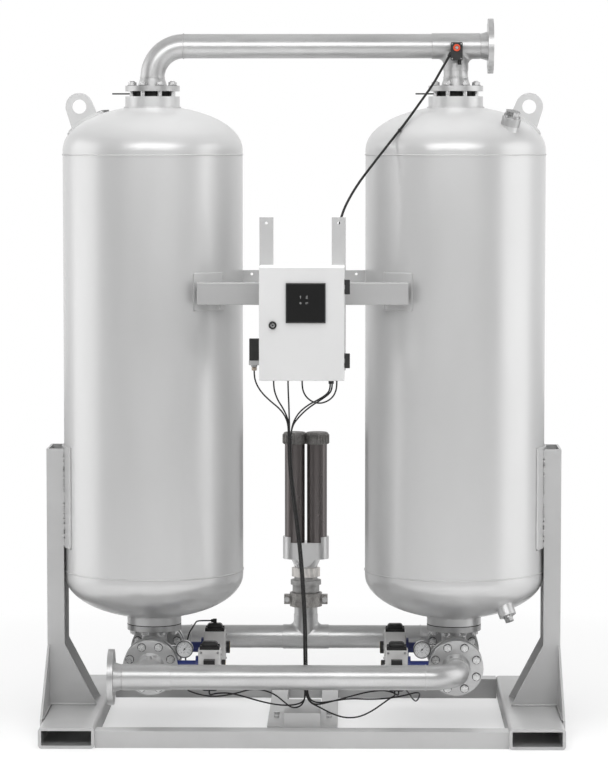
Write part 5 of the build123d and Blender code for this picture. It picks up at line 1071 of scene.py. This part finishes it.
icons = Shape()
for (across, up), bars in ICONS:
    spot = (CONTROLLER_X + across, SCREEN_Y - PANE_DEPTH, CONTROLLER_Z + up)
    for a0, b0, a1, b1 in bars:
        outline = [(a0, b0), (a1, b0), (a1, b1), (a0, b1)]
        icons.plate(outline, spot, X_WAY, Z_WAY, ICON_DEPTH)
icons.piece("screen_marks", LIGHT_GREY, "white_plastic", body="door")

HINGE_AXIS = (0.160, -0.547)
HINGE_HEIGHTS = (1.3785, 1.638)
HINGE_PAD_LOW = (0.1515, -0.5562)
HINGE_PAD_HIGH = (0.1685, -0.5535)
HINGE_PAD_HALF = 0.0255
KNUCKLES = ((-0.0122, 0.0122), (-0.0256, -0.0126), (0.0126, 0.0256))
KNUCKLE_INNER = 0.0086
KNUCKLE_OUTER = 0.0095

hinges = Shape()
for middle in HINGE_HEIGHTS:
    pad_low = (*HINGE_PAD_LOW, middle - HINGE_PAD_HALF)
    pad_high = (*HINGE_PAD_HIGH, middle + HINGE_PAD_HALF)
    hinges.block(pad_low, pad_high)
    for low, high in KNUCKLES:
        section = [(low, KNUCKLE_INNER), (low, KNUCKLE_OUTER)]
        section += [(high, KNUCKLE_OUTER), (high, KNUCKLE_INNER)]
        hinges.ring((*HINGE_AXIS, middle), Z_WAY, section, steps=32)
hinges.piece("hinge_covers", BLACK, "black_plastic", body="door", bevel=0.0004)

GLAND_Y = -0.450
CONNECTOR_X = -0.170
CONNECTOR_FOOT = [(-0.1885, -0.4715), (-0.1500, -0.4715), (-0.1500, -0.4285), (-0.1885, -0.4285)]
CONNECTOR_FOOT_HEIGHTS = (1.3735, 1.3572)
CONNECTOR_NUT = [(0, 0.0115), (0.006, 0.0115), (0.0075, 0.0100)]
CONNECTOR_NUT_TOP = 1.3575
CONNECTOR_SLEEVE = [(0, 0.0078), (0, 0.0092), (0.011, 0.0092), (0.011, 0.0078)]
CONNECTOR_SLEEVE_BOTTOM = 1.3375
GLANDS = ((-0.101, 0.0068), (-0.050, 0.0068), (0.0, 0.0068), (0.123, 0.0068), (0.103, 0.0098))
COLLAR_Z = 1.3040
COLLAR_WALL = 0.0013
COLLAR_HEIGHT = 0.0036

foot = Shape()
rings = [[Vector((x, y, z)) for x, y in CONNECTOR_FOOT] for z in CONNECTOR_FOOT_HEIGHTS]
foot.loft(rings, False)
foot.turned((CONNECTOR_X, GLAND_Y, CONNECTOR_NUT_TOP), (0, 0, -1), CONNECTOR_NUT, steps=6)
foot.piece("connector_foot", LIGHT_GREY, "white_plastic", bevel=0.0008)

collar = Shape()
sleeve_base = (CONNECTOR_X, GLAND_Y, CONNECTOR_SLEEVE_BOTTOM)
collar.ring(sleeve_base, Z_WAY, CONNECTOR_SLEEVE, steps=24)
for x, inner in GLANDS:
    outer = inner + COLLAR_WALL
    section = [(0, inner), (0, outer), (COLLAR_HEIGHT, outer), (COLLAR_HEIGHT, inner)]
    collar.ring((x, GLAND_Y, COLLAR_Z), Z_WAY, section, steps=6)
collar.piece("gland_collars", BRASS, "disc_steel")

LOCK_X = -0.102
LOCK_Z = 1.504
INSERT_Y = -0.5619
INSERT = [(0, 0.0075), (0.0006, 0.0075), (0.0012, 0.0066)]
KEYHOLE_Y = -0.5631
KEYHOLE_RADIUS = 0.0024
KEY_SLOT = [(-0.0048, -0.0009), (0.0048, -0.0009), (0.0048, 0.0009), (-0.0048, 0.0009)]
KEYHOLE_DEPTH = 0.0002

lock = Shape()
lock.turned((LOCK_X, INSERT_Y, LOCK_Z), FRONT_WAY, INSERT, steps=32)
lock.piece("lock_insert", STEEL, "disc_steel", body="lock")

# The keyhole is a flat black sheet on the lock's face: painted shade for its dark opening.
slot = Shape()
for outline in (circle(KEYHOLE_RADIUS, 20), KEY_SLOT):
    slot.plate(outline, (LOCK_X, KEYHOLE_Y, LOCK_Z), X_WAY, Z_WAY, KEYHOLE_DEPTH)
slot.piece("keyhole_painted_shade", BLACK_RUBBER_AND_SHADE, "black_plastic", body="lock")

SEAL_FRONT = -0.5380
SEAL_BACK = -0.5362
SEAL_STRIPS = (
    ((-0.1455, 1.3125), (0.1455, 1.3185)),
    ((-0.1455, 1.6975), (0.1455, 1.7035)),
    ((-0.1455, 1.3185), (-0.1395, 1.6975)),
    ((0.1395, 1.3185), (0.1455, 1.6975)),
)

seal = Shape()
for low, high in SEAL_STRIPS:
    seal.block((low[0], SEAL_FRONT, low[1]), (high[0], SEAL_BACK, high[1]))
seal.piece("door_seal", BLACK_RUBBER_AND_SHADE, "gasket_fibre", body="door")


# Actuators

INDICATOR_X = 0.2857
INDICATOR_Y = 0.220
CAP_STEP = 0.0024
INDICATOR_CAP = [(-0.011, 0.0234), (0.0008, 0.0234), (CAP_STEP, 0.0215), (CAP_STEP, 0.004)]
ARROW = [
    (-0.0026, -0.019),
    (0.0026, -0.019),
    (0.0026, 0.011),
    (0.0062, 0.011),
    (0, 0.0195),
    (-0.0062, 0.011),
    (-0.0026, 0.011),
]
ARROW_DEPTH = 0.0005
END_FACE_Y = 0.2561
END_SCREW_X = (0.3095, 0.3705)
END_SCREW_Z = (0.187, 0.295)
END_SCREW = [(0, 0.0048), (0.0022, 0.0048), (0.003, 0.0036)]
SIDE_FACE_X = 0.2988
SIDE_SCREW_Y = 0.243
SIDE_SCREW_Z = (0.196, 0.286)
SIDE_SCREW = [(0, 0.0042), (0.0018, 0.0042), (0.0024, 0.003)]

for side, word in SIDE_WORDS:
    for front, place in ((-1, "front"), (1, "rear")):
        valve = f"{place}_{word}"
        centre = Vector((side * INDICATOR_X, front * INDICATOR_Y, PIPE_Z))
        cap = Shape()
        cap.turned(centre, (-side, 0, 0), INDICATOR_CAP)
        cap.piece(
            f"indicator_cap_{valve}", BLACK, "black_plastic", body=f"disc_{valve}", bevel=0.0005
        )
        arrow = Shape()
        tip = centre - Vector((side * CAP_STEP, 0, 0))
        arrow.plate(ARROW, tip, (0, -side, 0), Z_WAY, ARROW_DEPTH)
        arrow.piece(f"indicator_arrow_{valve}", YELLOW, "white_plastic", body=f"disc_{valve}")

ports = Shape()
for side in SIDES:
    for front in SIDES:
        for x in END_SCREW_X:
            for z in END_SCREW_Z:
                ports.turned((side * x, front * END_FACE_Y, z), (0, front, 0), END_SCREW, steps=6)
        for z in SIDE_SCREW_Z:
            place = (side * SIDE_FACE_X, front * SIDE_SCREW_Y, z)
            ports.turned(place, (-side, 0, 0), SIDE_SCREW, steps=6)
ports.piece("actuator_screws", STEEL, "zinc_steel")


# Sensor, silencer and plugs

SENSOR_FACE = (0.555, -0.0994, 2.485)
SENSOR_RING = [(0, 0.0062), (0, 0.0128), (0.0007, 0.0124), (0.0007, 0.0066)]
SENSOR_HUB = [(0, 0.0058), (0.0012, 0.0056), (0.0016, 0.0046)]
SENSOR_SCREW_Y = -0.0963
SENSOR_SCREW_OUT = 0.0165
SENSOR_SCREW_Z = (2.4455, 2.4995)
SENSOR_SCREW = [(0, 0.0026), (0.0009, 0.0026), (0.0012, 0.0018)]

dial = Shape()
dial.ring(SENSOR_FACE, FRONT_WAY, SENSOR_RING, steps=40)
dial.piece("sensor_ring", ORANGE, "black_plastic")

hub = Shape()
hub.turned(SENSOR_FACE, FRONT_WAY, SENSOR_HUB, steps=28)
hub.piece("sensor_hub", STEEL, "disc_steel")

screws = Shape()
for side in SIDES:
    for z in SENSOR_SCREW_Z:
        place = (SENSOR_FACE[0] + side * SENSOR_SCREW_OUT, SENSOR_SCREW_Y, z)
        screws.turned(place, FRONT_WAY, SENSOR_SCREW, steps=16)
screws.piece("sensor_screws", STEEL, "disc_steel")

LOBE_RADIUS = 0.0445
LOBE_X = 0.0425
RIBS_PER_LOBE = 26
RIB_HEIGHTS = (0.991, 1.0235)
RIB_INNER_SIDE = -0.25
RIB_OUTLINE = (
    (-0.001, -0.0036),
    (0.0018, -0.0031),
    (0.003, -0.0012),
    (0.003, 0.0012),
    (0.0018, 0.0031),
    (-0.001, 0.0036),
)

ribs = Shape()
for side in SIDES:
    centre = Vector((side * LOBE_X, EXHAUST_Y, 0))
    for i in range(RIBS_PER_LOBE):
        a = math.tau * i / RIBS_PER_LOBE
        if side * math.cos(a) < RIB_INNER_SIDE:
            continue
        radial = Vector((math.cos(a), math.sin(a), 0))
        side_way = Vector((-math.sin(a), math.cos(a), 0))
        foot = []
        for out, wide in RIB_OUTLINE:
            foot.append(centre + radial * (LOBE_RADIUS + out) + side_way * wide)
        ribs.loft([[p + Vector((0, 0, z)) for p in foot] for z in RIB_HEIGHTS], False)
ribs.piece("silencer_cap_ribs", CAP_CAST, "cast_aluminium")

SOCKET_BASE = (0.74349, 0.2057, 2.20145)
SOCKET_WAY = (0.20877, 0.22783, 0.95106)
SOCKET_SLEEVE = [
    (0.004, 0.0331),
    (0.0336, 0.0331),
    (0.0336, 0.0334),
    (0.0324, 0.0341),
    (0.004, 0.0341),
]

sockets = Shape()
for side in SIDES:
    base = mirrored(SOCKET_BASE, side, -side)
    way = mirrored(SOCKET_WAY, side, -side)
    sockets.ring(base, way, SOCKET_SLEEVE)
sockets.piece("fill_socket_sleeves", FITTING, "zinc_steel")


# Stage and light


def floor_finish():
    """Pale floor: nearly white to the camera, still darkened by what stands on it."""
    f = Finish("floor")
    f.colour(f.tint(f.noise(0.6, 2.0), grey(0.9), grey(0.92)))
    f.roughness(f.span(f.noise(3.0, 2.0), 0.8, 0.9))
    nodes = f.tree.nodes
    glow = nodes.new("ShaderNodeEmission")
    glow.inputs["Strength"].default_value = 1.0
    mix = nodes.new("ShaderNodeMixShader")
    path = nodes.new("ShaderNodeLightPath")
    length = nodes.new("ShaderNodeVectorMath")
    length.operation = "LENGTH"
    f.join(f.place, length.inputs[0])
    share = nodes.new("ShaderNodeMath")
    share.operation = "MULTIPLY"
    f.join(path.outputs["Is Camera Ray"], share.inputs[0])
    f.join(f.span(length.outputs["Value"], 0.5, 1.0, 1.3, 3.0), share.inputs[1])
    f.join(share.outputs[0], mix.inputs["Fac"])
    f.join(f.shader.outputs["BSDF"], mix.inputs[1])
    f.join(glow.outputs["Emission"], mix.inputs[2])
    f.join(mix.outputs["Shader"], nodes["Material Output"].inputs["Surface"])
    return f.material


FLOOR_REACH = 14.0
FLOOR_CORNERS = ((-1, -1), (1, -1), (1, 1), (-1, 1))

floor_mesh = bpy.data.meshes.new("floor")
floor_points = [(FLOOR_REACH * x, FLOOR_REACH * y, 0) for x, y in FLOOR_CORNERS]
floor_mesh.from_pydata(floor_points, [], [(0, 1, 2, 3)])
floor_mesh.materials.append(floor_finish())
floor = bpy.data.objects.new("floor", floor_mesh)
bpy.context.scene.collection.objects.link(floor)


def studio_world():
    """Pure white to the camera, and dimmer in front and overhead for reflections."""
    world = bpy.data.worlds.new("studio")
    world.use_nodes = True
    tree = world.node_tree
    background = tree.nodes["Background"]
    background.inputs["Color"].default_value = (1, 1, 1, 1)
    coords = tree.nodes.new("ShaderNodeTexCoord")
    split = tree.nodes.new("ShaderNodeSeparateXYZ")
    tree.links.new(coords.outputs["Generated"], split.inputs["Vector"])
    dim = tree.nodes.new("ShaderNodeMath")
    dim.operation = "MULTIPLY"
    spans = (("Y", -0.7, 0.95, 0.3, 1.0), ("Z", 0.1, 0.7, 1.0, 0.45))
    for socket, (axis, start, end, low, high) in zip(dim.inputs, spans):
        shade = tree.nodes.new("ShaderNodeMapRange")
        shade.inputs["From Min"].default_value = start
        shade.inputs["From Max"].default_value = end
        shade.inputs["To Min"].default_value = low
        shade.inputs["To Max"].default_value = high
        tree.links.new(split.outputs[axis], shade.inputs["Value"])
        tree.links.new(shade.outputs["Result"], socket)
    path = tree.nodes.new("ShaderNodeLightPath")
    pick = tree.nodes.new("ShaderNodeMath")
    pick.operation = "MAXIMUM"
    tree.links.new(dim.outputs[0], pick.inputs[0])
    tree.links.new(path.outputs["Is Camera Ray"], pick.inputs[1])
    tree.links.new(pick.outputs[0], background.inputs["Strength"])
    return world


bpy.context.scene.world = studio_world()


def soft_box(name, place, aim, width, height, power):
    """A rectangular area light turned to a point."""
    data = bpy.data.lights.new(name, "AREA")
    data.shape = "RECTANGLE"
    data.size = width
    data.size_y = height
    data.energy = power
    lamp = bpy.data.objects.new(name, data)
    lamp.location = place
    lamp.visible_camera = False
    lamp.rotation_euler = (Vector(aim) - Vector(place)).to_track_quat("-Z", "Y").to_euler()
    bpy.context.scene.collection.objects.link(lamp)
    return lamp


soft_box("left_box", (-4.2, 0.2, 1.7), (0, 0, 1.3), 3.2, 4.4, 42)
soft_box("right_box", (4.2, -0.6, 1.7), (0, 0, 1.3), 3.2, 4.4, 46)
top_box = soft_box("top_box", (0, -0.8, 5.2), (0, 0, 0), 5.0, 3.5, 225)
top_box.visible_glossy = False
soft_box("front_box", (0, -5.6, 4.2), (0, 0, 1.2), 7.0, 2.4, 158)
